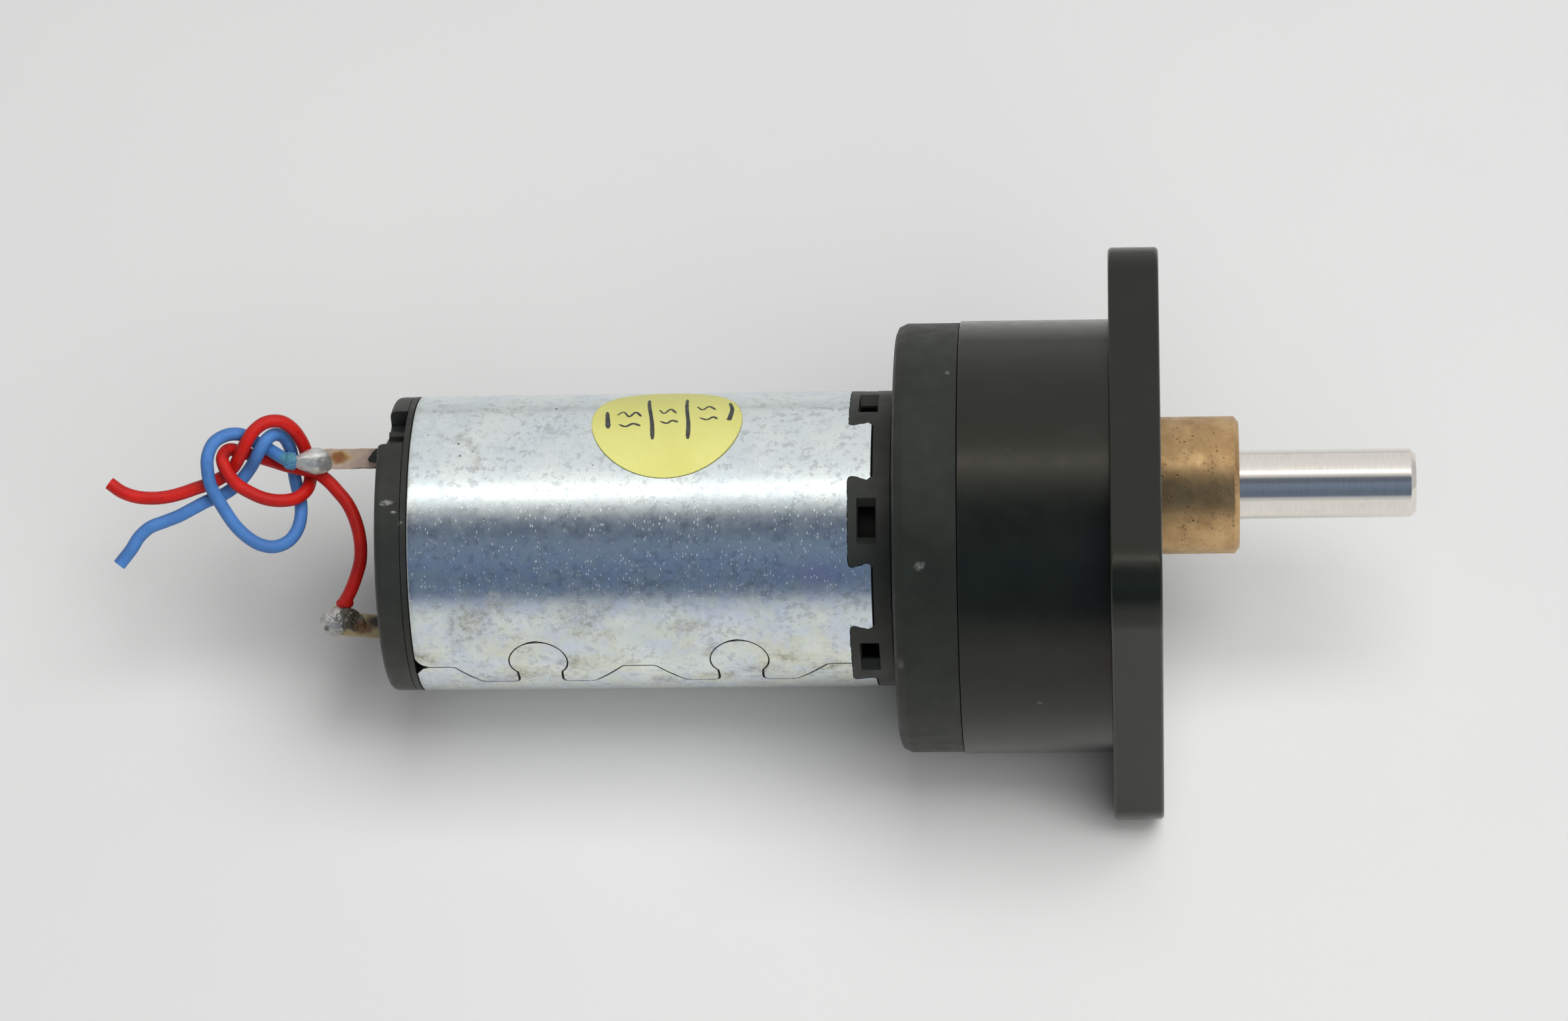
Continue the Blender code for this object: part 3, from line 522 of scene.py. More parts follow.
def moulded(name, tone, roughness, grain, scuffs=(), speckle=0.12, specular=0.42, sweep=1.0, shade_below=None):
    """Dark moulded or painted casting: fine grain, dust specks and pale scuffs at given places, and
    near-black painted shade below a given radius when one is given.
    """
    p = Paint(name, specular_ior_level=specular, specular_tint=(1.0, 0.92, 0.78, 1.0))
    low = tuple(c * 0.82 for c in tone)
    high = tuple(c * 1.22 for c in tone)
    col = p.mix(p.remap(p.noise(220, 4, 0.6), 0.3, 0.7), low, high)
    col = p.mix(p.remap(p.noise(3200, 3, 0.6), 0.58, 0.75, 0.0, 0.35), col, tuple(c * 1.9 for c in tone))
    dust = p.math("MULTIPLY",
                  p.most(specks(p, 260, 0.035, speckle),
                         specks(p, 700, 0.05, speckle * 0.8, (0.3, 0.7, 0.1))),
                  0.55)
    marks = [p.math("MULTIPLY", p.patch(c, r, 0.8, 0.9, 900.0), amount) for c, r, amount in scuffs]
    if marks:
        break_up = p.remap(p.noise(1900, 4, 0.75), 0.38, 0.60, 0.15, 1.0)
        dust = p.most(dust, *(p.math("MULTIPLY", m, break_up) for m in marks))
    col = p.mix(dust, col, (0.36, 0.37, 0.35))
    # painted shade: near black below the given radius, inside the pockets and wells
    if shade_below:
        col = p.mix(p.remap(p.radius(), (shade_below - 0.25) * MM, shade_below * MM, 1.0, 0.0), col,
                    (0.0015, 0.0018, 0.0015))
    p.color(col)
    base = p.remap(p.noise(480, 4, 0.6, shift=(0.4, 0.1, 0.7)), 0.3, 0.7, roughness - 0.05 * sweep,
                   roughness + 0.06 * sweep)
    p.rough(p.math("ADD", base, p.math("MULTIPLY", dust, 0.25)))
    p.bump(p.noise(grain, 3, 0.6), 0.35, 0.016)
    p.bump(p.noise(500, 3, 0.5, stretch=(1, 0.5, 0.5)), 0.2, 0.02)
    return p.mat


def steel(name, tone, roughness, scratch=0.2, axis_stretch=(14, 0.6, 0.6), spread=0.06):
    """Machined metal: fine turning lines round the X axis and small stains."""
    p = Paint(name, metallic=1.0)
    lines = p.noise(900, 4, 0.7, stretch=axis_stretch)
    col = p.mix(p.remap(lines, 0.3, 0.7), tuple(c * 0.93 for c in tone),
                tuple(min(1.0, c * 1.05) for c in tone))
    spots = p.math("MULTIPLY", p.remap(p.noise(260, 5, 0.7, shift=(0.2, 0.4, 0)), 0.56, 0.74), 0.30)
    col = p.mix(spots, col, tuple(c * 0.62 for c in tone))
    dots = p.math("MULTIPLY", specks(p, 520, 0.05, 0.2), 0.6)
    p.color(p.mix(dots, col, (0.16, 0.14, 0.11)))
    p.rough(p.math("ADD", p.remap(lines, 0.3, 0.7, roughness - spread, roughness + spread),
                   p.math("MULTIPLY", spots, 0.2)))
    p.bump(lines, scratch, 0.006)
    return p.mat


def bronze(name="sintered_bronze"):
    """Sintered bronze: warm, open pored and rubbed brighter in places."""
    p = Paint(name, metallic=1.0)
    col = p.mix(p.remap(p.noise(240, 5, 0.65), 0.3, 0.7), (0.50, 0.315, 0.145), (0.68, 0.455, 0.225))
    col = p.mix(p.remap(p.noise(2000, 4, 0.7), 0.5, 0.75, 0.0, 0.5), col, (0.33, 0.21, 0.11))
    pores = p.most(specks(p, 1100, 0.17, 0.20), specks(p, 520, 0.08, 0.12, (0.2, 0.5, 0.4)),
                   specks(p, 2200, 0.22, 0.22, (0.7, 0.1, 0.2)))
    scores = p.remap(p.noise(260, 4, 0.8, stretch=(2.2, 1, 1), distortion=1.2), 0.60, 0.66, 0.0, 0.7)
    scores = p.math("MULTIPLY", scores, p.remap(p.noise(1400, 3, 0.7), 0.45, 0.6))
    col = p.mix(p.math("MULTIPLY", pores, 0.7), col, (0.12, 0.075, 0.04))
    col = p.mix(p.math("MULTIPLY", scores, 0.5), col, (0.16, 0.10, 0.055))
    p.color(col)
    p.rough(p.remap(p.noise(800, 4, 0.6), 0.3, 0.7, 0.34, 0.50))
    p.bump(p.noise(2600, 4, 0.7), 0.35, 0.02)
    p.bump(p.most(pores, scores), 0.7, -0.05)
    return p.mat


def insulation(name, tone, ends, sheen=0.35):
    """PVC sleeve: satin, a little soot, and a heat-marked end next to the solder."""
    p = Paint(name, specular_ior_level=0.3)
    col = p.mix(p.remap(p.noise(300, 4, 0.6), 0.3, 0.7), tuple(c * 0.85 for c in tone),
                tuple(min(1.0, c * 1.12) for c in tone))
    soot = p.remap(p.noise(420, 5, 0.7, shift=(0.6, 0.2, 0.1)), 0.60, 0.72, 0.0, 0.30)
    col = p.mix(soot, col, tuple(c * 0.35 for c in tone))
    for centre, radii, amount, dark in ends:
        darkened = p.math("MULTIPLY", p.patch(centre, radii, 0.8, 1.2, 700.0), amount)
        col = p.mix(darkened, col, dark)
    p.color(col)
    p.rough(p.remap(p.noise(600, 3, 0.6), 0.3, 0.7, sheen - 0.05, sheen + 0.10))
    p.bump(p.noise(500, 4, 0.6), 0.25, 0.05)
    return p.mat


def crust(name):
    """Burnt flux: black brown, glassy in places, with grey grains."""
    p = Paint(name, specular_ior_level=0.5)
    col = p.mix(p.remap(p.noise(420, 5, 0.7), 0.35, 0.65), (0.035, 0.030, 0.018), (0.14, 0.125, 0.085))
    col = p.mix(p.remap(p.noise(1500, 4, 0.7), 0.55, 0.72, 0.0, 0.8), col, (0.36, 0.35, 0.30))
    col = p.mix(p.patch(brush_line(-93.6, -9.6, 0.8), (1.1, 0.9, 1.0), 0.8, 1.0, 900.0), col,
                (0.13, 0.045, 0.010))
    p.color(col)
    p.rough(p.remap(p.noise(900, 4, 0.6), 0.3, 0.7, 0.28, 0.6))
    p.bump(p.noise(1100, 4, 0.7), 0.5, 0.08)
    return p.mat


def solder(name, flux_marks, dull=0.0):
    """Solder with bright and dull grain and flux at given places."""
    p = Paint(name, metallic=1.0)
    col = p.mix(p.remap(p.noise(420, 4, 0.6), 0.3, 0.7), (0.44 - dull, 0.44 - dull, 0.415 - dull),
                (0.70 - dull, 0.695 - dull, 0.66 - dull))
    col = p.mix(p.remap(p.noise(1800, 4, 0.7), 0.55, 0.75, 0.0, 0.4), col, (0.40, 0.38, 0.34))
    flux = None
    for centre, radii, tone in flux_marks:
        mark = p.patch(centre, radii, 0.7, 1.0, 900.0)
        col = p.mix(mark, col, tone)
        flux = mark if flux is None else p.math("MAXIMUM", flux, mark)
    p.color(col)
    if flux is not None:
        p.metal(p.remap(flux, 0.2, 0.9, 0.72, 0.1))
    p.rough(p.remap(p.noise(900, 4, 0.6), 0.3, 0.7, 0.26 + dull * 0.3, 0.42 + dull * 0.3))
    p.bump(p.noise(900, 4, 0.6), 0.25, 0.04)
    return p.mat


def tab(name, tone, heat):
    """Tinned copper strip with heat tint, flux and painted shade at given places."""
    p = Paint(name, metallic=1.0)
    col = p.mix(p.remap(p.noise(500, 4, 0.6), 0.3, 0.7), tuple(c * 0.88 for c in tone),
                tuple(min(1.0, c * 1.10) for c in tone))
    darkened = None
    # marks: heat tint and flux, and on the lower tab a patch of painted shade
    for centre, radii, shade_of, amount in heat:
        mark = p.math("MULTIPLY", p.patch(centre, radii, 0.6, 0.9, 900.0), amount)
        col = p.mix(mark, col, shade_of)
        darkened = mark if darkened is None else p.math("MAXIMUM", darkened, mark)
    p.color(col)
    p.metal(p.remap(darkened, 0.2, 1.0, 0.30, 0.05))
    p.rough(p.remap(p.noise(1200, 4, 0.6), 0.3, 0.7, 0.30, 0.48))
    p.bump(p.noise(1500, 4, 0.6), 0.35, 0.02)
    return p.mat


def plain(name, tone, roughness, metallic, grain=1500, contrast=0.25, bump=0.3):
    """Inner pieces: one tone with grain, stains and a fine surface."""
    p = Paint(name, metallic=metallic)
    col = p.mix(p.remap(p.noise(350, 4, 0.6), 0.3, 0.7), tuple(c * (1 - contrast) for c in tone),
                tuple(min(1.0, c * (1 + contrast)) for c in tone))
    col = p.mix(p.remap(p.noise(grain, 3, 0.7), 0.55, 0.75, 0.0, 0.4), col, tuple(c * 0.5 for c in tone))
    p.color(col)
    p.rough(p.remap(p.noise(700, 3, 0.6), 0.3, 0.7, roughness - 0.06, roughness + 0.08))
    p.bump(p.noise(grain, 3, 0.6), bump, 0.02)
    return p.mat


def paper():
    """The yellow label."""
    p = Paint("label_paper", specular_ior_level=0.35)
    col = p.mix(p.remap(p.noise(140, 4, 0.6), 0.3, 0.7), (0.785, 0.765, 0.225), (0.84, 0.82, 0.27))
    col = p.mix(p.remap(p.noise(1600, 4, 0.7), 0.5, 0.8, 0.0, 0.22), col, (0.70, 0.67, 0.20))
    inside = p.patch(on_radius(-56.5, CAN_R, math.radians(108)), (8.72, 8.5, 8.5), 0.03)
    col = p.mix(p.remap(inside, 0.0, 1.0, 0.5, 0.0), col, (0.36, 0.30, 0.10))
    p.color(col)
    p.rough(p.remap(p.noise(900, 3, 0.6), 0.3, 0.7, 0.42, 0.56))
    p.bump(p.noise(2200, 4, 0.7), 0.3, 0.012)
    return p.mat


def ink():
    """The pen on the label."""
    p = Paint("felt_pen", specular_ior_level=0.4)
    col = p.mix(p.remap(p.noise(900, 4, 0.7), 0.35, 0.65), (0.030, 0.034, 0.038), (0.075, 0.070, 0.060))
    p.color(col)
    p.rough(p.remap(p.noise(1200, 3, 0.6), 0.3, 0.7, 0.45, 0.62))
    p.bump(p.noise(2600, 3, 0.6), 0.3, 0.01)
    return p.mat


def table_top():
    """The pale table."""
    p = Paint("pale_table", specular_ior_level=0.25, roughness=0.62)
    col = p.mix(p.remap(p.noise(9, 4, 0.6), 0.3, 0.7), FLOOR_TONES[0], FLOOR_TONES[1])
    col = p.mix(p.math("MULTIPLY", specks(p, 55, 0.016, 0.16), 0.35), col, (0.62, 0.55, 0.52))
    col = p.mix(p.remap(p.noise(900, 3, 0.7), 0.3, 0.8, 0.0, 0.10), col, (0.78, 0.77, 0.79))
    p.color(col)
    p.bump(p.noise(700, 3, 0.6), 0.08, 0.05)
    return p.mat


FLOOR_TONES = ((0.80, 0.805, 0.795), (0.825, 0.83, 0.815))

# ---------------------------------------------------------------- materials
ZINC = zinc()
MOULDED = moulded("moulded_black", (0.019, 0.0225, 0.0205), 0.50, 2600, (
    (on_radius(-88.3, 17.1, math.radians(71.5)), (0.9, 0.35, 0.35), 0.9),
    (on_radius(-87.4, 17.1, math.radians(67.5)), (0.55, 0.25, 0.45), 0.8),
    (on_radius(-86.5, 17.1, math.radians(63.5)), (0.45, 0.22, 0.4), 0.6),
    (brush_line(-91.0, 10.6, 1.4), (0.35, 0.3, 0.3), 0.6)), speckle=0.10)
COVER_PAINT = moulded("cover_cast", (0.0105, 0.0150, 0.0125), 0.52, 3000, (
    (on_radius(-27.2, 24.9, math.radians(48)), (0.85, 0.75, 0.75), 0.42),
    (on_radius(-29.6, 24.6, math.radians(20)), (0.6, 1.2, 1.2), 0.25),
    (on_radius(-24.0, 24.9, math.radians(104)), (0.4, 0.4, 0.4), 0.4)), speckle=0.16)
HOUSE_PAINT = moulded("housing_cast", (0.0055, 0.0080, 0.0064), 0.21, 3400, (
    (Vector((-3.2, -24.0, -7.6)), (0.55, 0.6, 0.5), 0.55),
    (Vector((-2.9, -22.0, -25.2)), (3.0, 3.4, 0.8), 0.22),
    (Vector((-14.0, -25.0, 3.0)), (0.5, 0.4, 0.4), 0.25)), speckle=0.10, sweep=0.6)
# the shield's moulding, with painted shade in its pockets and wells
SHIELD_BLACK = moulded("moulded_shield", (0.019, 0.0225, 0.0205), 0.50, 2600, speckle=0.10,
                       shade_below=CAN_R - 1.25)
BRONZE = bronze()
GROUND = steel("ground_steel", (0.82, 0.775, 0.715), 0.13, 0.20, spread=0.04)
DARK_STEEL = steel("hardened_steel", (0.34, 0.34, 0.345), 0.40, 0.3)
BRASS = plain("brass_stock", (0.70, 0.52, 0.25), 0.34, 1.0)
LAMINATION = plain("lamination_stack", (0.33, 0.33, 0.34), 0.46, 1.0, 2400, 0.15)
COPPER_COIL = plain("enamelled_copper", (0.50, 0.20, 0.08), 0.38, 0.85, 900, 0.30, 0.6)
COMMUTATOR = plain("commutator_copper", (0.72, 0.42, 0.27), 0.36, 1.0)
FERRITE = plain("ferrite_block", (0.05, 0.05, 0.055), 0.68, 0.0)
CARBON = plain("carbon_block", (0.035, 0.035, 0.035), 0.55, 0.1)
RED = insulation("red_pvc", (0.56, 0.013, 0.009), (
    (brush_line(-95.2, -7.3, 0), (0.8, 0.55, 1.0), 0.85, (0.10, 0.035, 0.02)),
    (brush_line(-109.0, 10.6, 0.4), (1.0, 1.6, 1.6), 0.55, (0.07, 0.012, 0.012)),
    (brush_line(-108.6, 8.3, 1.0), (0.7, 1.3, 1.3), 0.45, (0.10, 0.015, 0.015)),
    (brush_line(-101.8, 5.4, -0.7), (1.4, 0.9, 0.9), 0.35, (0.20, 0.015, 0.015))), 0.42)
BLUE = insulation("blue_pvc", (0.070, 0.205, 0.52), (
    (brush_line(-101.7, 9.9, 0.2), (1.8, 1.6, 1.6), 0.90, (0.085, 0.26, 0.27)),
    (brush_line(-109.6, 4.4, 0.6), (0.8, 1.0, 1.0), 0.30, (0.02, 0.06, 0.16))), 0.40)
SOLDER_UP = solder("solder_bright", (
    (brush_line(-101.2, 9.2, 0.4), (0.45, 0.9, 1.2), (0.30, 0.26, 0.18)),
    (brush_line(-98.2, 8.15, 0.4), (2.6, 0.40, 1.2), (0.50, 0.48, 0.38)),
    (brush_line(-96.4, 8.5, 0.5), (1.0, 0.5, 1.0), (0.34, 0.30, 0.18))))
CRUST = crust("burnt_flux")
SOLDER_LOW = solder("solder_sooty", (
    (brush_line(-95.3, -7.9, 0.3), (1.3, 0.9, 1.5), (0.060, 0.052, 0.036)),
    (brush_line(-96.5, -7.3, 0.4), (0.6, 0.5, 1.0), (0.42, 0.30, 0.16)),
    (brush_line(-94.9, -9.6, 0.9), (1.0, 1.3, 0.8), (0.11, 0.10, 0.075)),
    (brush_line(-97.6, -9.9, 0.9), (0.5, 0.55, 0.7), (0.13, 0.13, 0.12))), 0.16)
TAB_UP = tab("copper_tab_upper", (0.54, 0.405, 0.32), (
    (brush_line(-95.6, 10.25, 0.3), (1.75, 1.0, 1.0), (0.46, 0.33, 0.12), 0.85),
    (brush_line(-95.9, 10.15, 0.3), (1.45, 0.80, 0.9), (0.24, 0.085, 0.025), 0.95),
    (brush_line(-92.0, 8.72, 0.0), (3.2, 0.20, 0.5), (0.05, 0.04, 0.035), 0.85)))
TAB_LOW = tab("copper_tab_lower", (0.42, 0.33, 0.18), (
    # painted shade: the visible face of the lower tab, near black
    (brush_line(-91.2, -9.1, 0.3), (2.4, 1.20, 1.0), (0.028, 0.022, 0.016), 0.97),
    (brush_line(-93.2, -9.9, 0.3), (1.5, 1.0, 0.8), (0.12, 0.050, 0.010), 0.90)))

# ---------------------------------------------------------------- motor can
KEY_ANGLES = [math.radians(60 * k + 2.2) for k in range(6)]
NOTCH_REAR = CAN_FRONT - 2.72


def key_outline(grow, jitter=0.0, front=2.0, seed=0.0):
    """The dovetail of a notch in the can's rim, wider at its rear, as (x, tangent) points."""
    rear, wide, narrow = NOTCH_REAR - grow, 5.42 + grow, 4.78 + grow
    mouth = CAN_FRONT + front
    lip = 0.42
    points = rounded([(mouth, narrow + lip + 0.3, 0), (CAN_FRONT + 0.02, narrow + lip, 0.0),
                      (CAN_FRONT - 0.42, narrow, 0.35), (rear, wide, 0.62),
                      (rear, -wide, 0.62), (CAN_FRONT - 0.42, -narrow, 0.35),
                      (CAN_FRONT + 0.02, -narrow - lip, 0.0), (mouth, -narrow - lip - 0.3, 0)])
    if not jitter:
        return points
    out = []
    for i, (a, b) in enumerate(points):
        c, d = points[(i + 1) % len(points)]
        length = math.hypot(c - a, d - b)
        count = max(1, int(length / 0.22))
        for k in range(count):
            x, t = a + (c - a) * k / count, b + (d - b) * k / count
            if x < CAN_FRONT + 0.3:
                push = noise.noise_vector(Vector((x * 2.6, t * 2.6, seed))) * jitter
                push += noise.noise_vector(Vector((x * 7.0, t * 7.0, seed + 9))) * jitter * 0.6
                x, t = x + push.x, t + push.y
            out.append((x, t))
    return out


can = new_object("motor_can_shell", lathe(rounded([
    (CAN_FRONT, CAN_R, 0.12), (CAN_REAR, CAN_R, 0.35), (CAN_REAR, CAN_BORE, 0.1),
    (CAN_FRONT, CAN_BORE, 0.1)])))
cutter = bmesh.new()
for k, alpha in enumerate(KEY_ANGLES):
    prism(key_outline(0.0, 0.075, seed=3.7 * k), CAN_BORE - 1.5, CAN_R + 1.5, alpha, cutter)
cut(can, cutter)


def knob(x):
    """Points of the seam round one locking knob."""
    reach, radius, middle = 2.60, 3.38, 0.66
    turn = [math.radians(a) for a in range(-130, 131, 10)]
    left = [(x - 3.25, -4.2), (x - 2.78, -4.06), (x - 2.56, -3.6), (x - 2.52, -2.9), (x - 2.55, -2.2)]
    right = [(2 * x - a, b) for a, b in reversed(left)]
    round_top = [(x + radius * math.sin(a), middle + radius * math.cos(a)) for a in turn]
    return left + round_top + right


KNOBS = (-71.67, -48.47)
seam = [(-86.6, -0.3), (-81.9, -0.3), (-81.4, -0.42), (-78.6, -4.0), (-78.1, -4.2), *knob(KNOBS[0]),
        (-65.8, -4.2), (-65.3, -4.02), (-62.1, -0.45), (-61.6, -0.3), (-58.6, -0.3), (-58.1, -0.45),
        (-55.0, -4.0), (-54.5, -4.2), *knob(KNOBS[1]), (-42.4, -4.2), (-41.9, -4.0), (-38.5, -0.45),
        (-38.0, -0.3), (-35.0, -0.3)]
fine_seam = []
for (x0, s0), (x1, s1) in zip(seam, seam[1:]):
    steps = max(1, int(math.hypot(x1 - x0, s1 - s0) / 0.5))
    fine_seam += [(x0 + (x1 - x0) * k / steps, s0 + (s1 - s0) * k / steps) for k in range(steps)]
fine_seam.append(seam[-1])
widths = []
for x, s in fine_seam:
    open_top = max((math.exp(-((x - c + 0.2) / 1.1) ** 2) for c in KNOBS)) * (1.0 if s > 2.5 else 0.0)
    steep = min(1.0, max(0.0, (1.0 - s) / 4.0))
    widths.append(0.15 + 0.12 * steep + 0.17 * open_top + 0.03 * noise.noise(Vector((x * 0.9, s * 0.9, 4.0))))
cut(can, ribbon(fine_seam, widths, CAN_R - 0.40, CAN_R + 0.5, flare=(0.35, 1.8)))
gap = [(-86.6, 1.75), (-85.95, 1.45), (-85.55, 0.65), (-85.1, 0.12), (-84.5, -0.14), (-84.5, -0.42),
       (-85.1, -0.62),
       (-85.5, -1.15), (-85.95, -1.9), (-86.6, -2.2)]
cut(can, prism(gap, CAN_BORE - 1, CAN_R + 1, 0.0))
clean(can)
shade(can, 0.0)
piece(can, ZINC, "zinc_steel", "motor_can")

# ---------------------------------------------------------------- front shield with its keys
INNER = CAN_BORE - 0.3
shield = new_object("front_shield_ring", lathe([
    (SHIELD_HI.x, CAN_R - 0.18), (SHIELD_HI.x - 0.18, CAN_R - 0.02), (CAN_FRONT + 0.22, CAN_R - 0.02),
    (CAN_FRONT + 0.12, CAN_R - 0.12), (CAN_FRONT + 0.12, INNER), (-35.3, INNER), (-35.3, 12.9),
    (-33.2, 12.9), (-33.2, 7.2),
    (-36.4, 7.2), (-36.4, 5.3), (-31.4, 5.3), (-31.4, 2.5), (SHIELD_HI.x, 2.5)]))
keys = bmesh.new()
for alpha in KEY_ANGLES:
    prism(key_outline(-0.07, front=1.0), INNER - 2.0, CAN_R + 1.0, alpha, keys)
key_solid = new_object("keys", keys)
cut(key_solid, lathe([(CAN_FRONT + 0.9, CAN_R - 0.03), (-36.5, CAN_R - 0.03), (-36.5, INNER - 0.8),
                      (CAN_FRONT + 0.9, INNER - 0.8)]), "INTERSECT")
mesh_keys = bmesh.new()
mesh_keys.from_mesh(key_solid.data)
bmesh.ops.scale(mesh_keys, vec=(1 / MM,) * 3, verts=mesh_keys.verts)
cut(shield, mesh_keys, "UNION")
bpy.data.objects.remove(key_solid, do_unlink=True)
pockets, wells = bmesh.new(), bmesh.new()
for alpha in KEY_ANGLES:
    top = [(-34.55, -3.02), (-32.32, -3.02), (-32.32, 3.02), (-34.55, 3.02)]
    foot = [(-34.50, -1.80), (-32.37, -1.80), (-32.37, 1.80), (-34.50, 1.80)]
    prism(top, CAN_R - 1.25, CAN_R + 0.25, alpha, pockets, foot)
    prism([(-34.45, -1.78), (-32.42, -1.78), (-32.42, 1.78), (-34.45, 1.78)], 13.35, CAN_R - 0.8, alpha,
          wells)
cut(shield, pockets)
cut(shield, wells)
holes = bmesh.new()
for y, z in MOTOR_SCREWS:
    lathe([(SHIELD_HI.x + 1, 0), (SHIELD_HI.x + 1, 1.7), (-37.0, 1.7), (-37.0, 0)], 48, y, z, holes)
cut(shield, holes)
clean(shield)
shade(shield, 0.0)
piece(shield, SHIELD_BLACK, "moulded_black", "front_shield")

# ---------------------------------------------------------------- brush plate
plate = new_object("brush_plate_disc", lathe(rounded([
    (-84.0, INNER, 0), (-86.04, INNER, 0), (-86.04, CAN_R - 0.03, 0.04),
    (PLATE_LO.x - 0.09, CAN_R - 0.03, 0.04),
    (PLATE_LO.x - 0.09, 7.0, 0), (-84.0, 7.0, 0)])))
slots = bmesh.new()
TERMINALS = {"upper": (10.0, -98.3), "lower": (-9.6, -97.3)}   # height and hidden end under the solder


def strip(x0, x1, v0, v1, w0, w1, bm=None):
    """A block on the brush line."""
    square = ((v0, w0), (v1, w0), (v1, w1), (v0, w1))
    return loft([[brush_line(x, v, w) for v, w in square] for x in (x0, x1)], bm)


for v, _ in TERMINALS.values():
    strip(-95, -80, v - 1.5, v + 1.5, -0.55, 0.55, slots)
cut(plate, slots)
clean(plate)
shade(plate, 0.0)
piece(plate, MOULDED, "moulded_black", "brush_plate")

# ---------------------------------------------------------------- rear cap
CAP_R = CAN_R - 0.05
CAP_REAR, CAP_FLOOR, RIM_REAR = -89.75, -89.25, -88.85
BEHIND, OUTSIDE = -92.0, 19.5      # clear of the cap, for blocks that cut through it
STEP_FROM, STEP_TO = math.radians(97.6), math.radians(192.8)


def sector(a0, a1, r0, r1, x0, x1):
    """A block bounded by two angles, two radii and two planes across X."""
    count = 24
    arc = [a0 + (a1 - a0) * k / count for k in range(count + 1)]
    outline = [on_radius(0, r1, a) for a in arc] + [on_radius(0, r0, a) for a in reversed(arc)]
    return slab(x0, x1, [(p.y, p.z) for p in outline])


def cap_lathe(rear, radius, edge, bore=5.3):
    """The cap's disc with the bearing's bore cut into it from the front."""
    front = CAP_HI.x
    side = rounded([(front, bore, 0), (front, radius, 0.12), (rear, radius, edge), (rear, 0.0, 0)],
                   closed=False, steps=7)
    return lathe(side + [(CAP_FLOOR, 0.0), (CAP_FLOOR, bore)])


cap = new_object("rear_cap_moulding", cap_lathe(CAP_REAR, CAP_R, 0.95))
cut(cap, sector(STEP_FROM, STEP_TO, 12.4, OUTSIDE, BEHIND, RIM_REAR + 0.02))
soft = new_object("low_rim", lathe(rounded([
    (-87.2, CAP_R - 0.02, 0), (RIM_REAR, CAP_R - 0.02, 1.15), (RIM_REAR, 12.8, 0.0), (-87.2, 12.8, 0)],
    steps=8)))
cut(soft, sector(STEP_FROM + 0.01, STEP_TO - 0.01, 12.0, OUTSIDE, BEHIND, -86.0), "INTERSECT")
cut(cap, sector(STEP_FROM, STEP_TO, 14.6, OUTSIDE, BEHIND, -87.9))
RECESS = [(BEHIND, -3.1), (-86.5, -3.1), (-86.5, 3.1), (BEHIND, 3.1)]
for part in (cap, soft):
    clean(part)
    cut(part, prism(RECESS, 14.7, OUTSIDE, math.radians(108.5)))
low_rim = bmesh.new()
low_rim.from_mesh(soft.data)
bmesh.ops.scale(low_rim, vec=(1 / MM,) * 3, verts=low_rim.verts)
cut(cap, low_rim, "UNION")
bpy.data.objects.remove(soft, do_unlink=True)
ridge = bmesh.new()
rounded_rib = [(14.5, -0.60), (15.2, -0.45), (15.42, -0.2), (15.48, 0.0), (15.42, 0.2), (15.2, 0.45),
               (14.5, 0.60)]
turn = math.radians(111.5)
c, s = math.cos(turn), math.sin(turn)
section = [(-c * r + s * t, s * r + c * t) for r, t in rounded_rib]
cut(cap, slab(RIM_REAR + 0.03, -86.9, section, ridge), "UNION")
lug = bmesh.new()
lug_outline = rounded([(-89.2, 9.25, 0), (-89.2, 11.2, 0), (-91.35, 11.1, 0.25), (-91.75, 10.75, 0.2),
                       (-92.38, 9.85, 0.15),
                       (-92.1, 9.55, 0.15), (-90.9, 9.42, 0.2)], steps=3)
loft([[brush_line(x, v, w) for x, v in lug_outline] for w in (0.50, 1.40)], lug)
cut(cap, lug, "UNION")
openings = bmesh.new()
for v, _ in TERMINALS.values():
    strip(-95, -80, v - 1.32, v + 1.32, -0.38, 0.38, openings)
cut(cap, openings)
clean(cap)
shade(cap, 0.0)
piece(cap, MOULDED, "moulded_black", "rear_cap")

# ---------------------------------------------------------------- terminals
for name, (v, tip) in TERMINALS.items():
    bm = bmesh.new()
    length = 60
    rows = []
    for k in range(length + 1):
        x = tip + (-83.4 - tip) * k / length
        free = min(1.0, max(0.0, (-89.85 - x) / 0.5)) if name == "lower" else 0.0
        lean = -free * (0.07 + 0.098 * (x + 91.5))
        wave = 0.06 * noise.noise(Vector((x * 0.8, v, 0.0)))
        bend = 0.05 * noise.noise(Vector((x * 0.5, v, 5.0)))
        half = 1.19 + 0.19 * free - (0.10 if k == 0 else 0.0)
        thick = 0.23 - (0.06 if k == 0 else 0.0)
        edge = 0.07
        ring = [(-half, -thick + edge), (-half + edge, -thick), (half - edge, -thick),
                (half, -thick + edge),
                (half, thick - edge), (half - edge, thick), (-half + edge, thick), (-half, thick - edge)]
        visible = 1.0 if x < -90 else 0.0
        rows.append([brush_line(x, v + a + wave * visible + lean, b + bend * visible) for a, b in ring])
    obj = new_object(f"terminal_{name}_tab", loft(rows, bm))
    shade(obj, angle=25)
    piece(obj, TAB_UP if name == "upper" else TAB_LOW, "copper_tab", f"terminal_{name}")


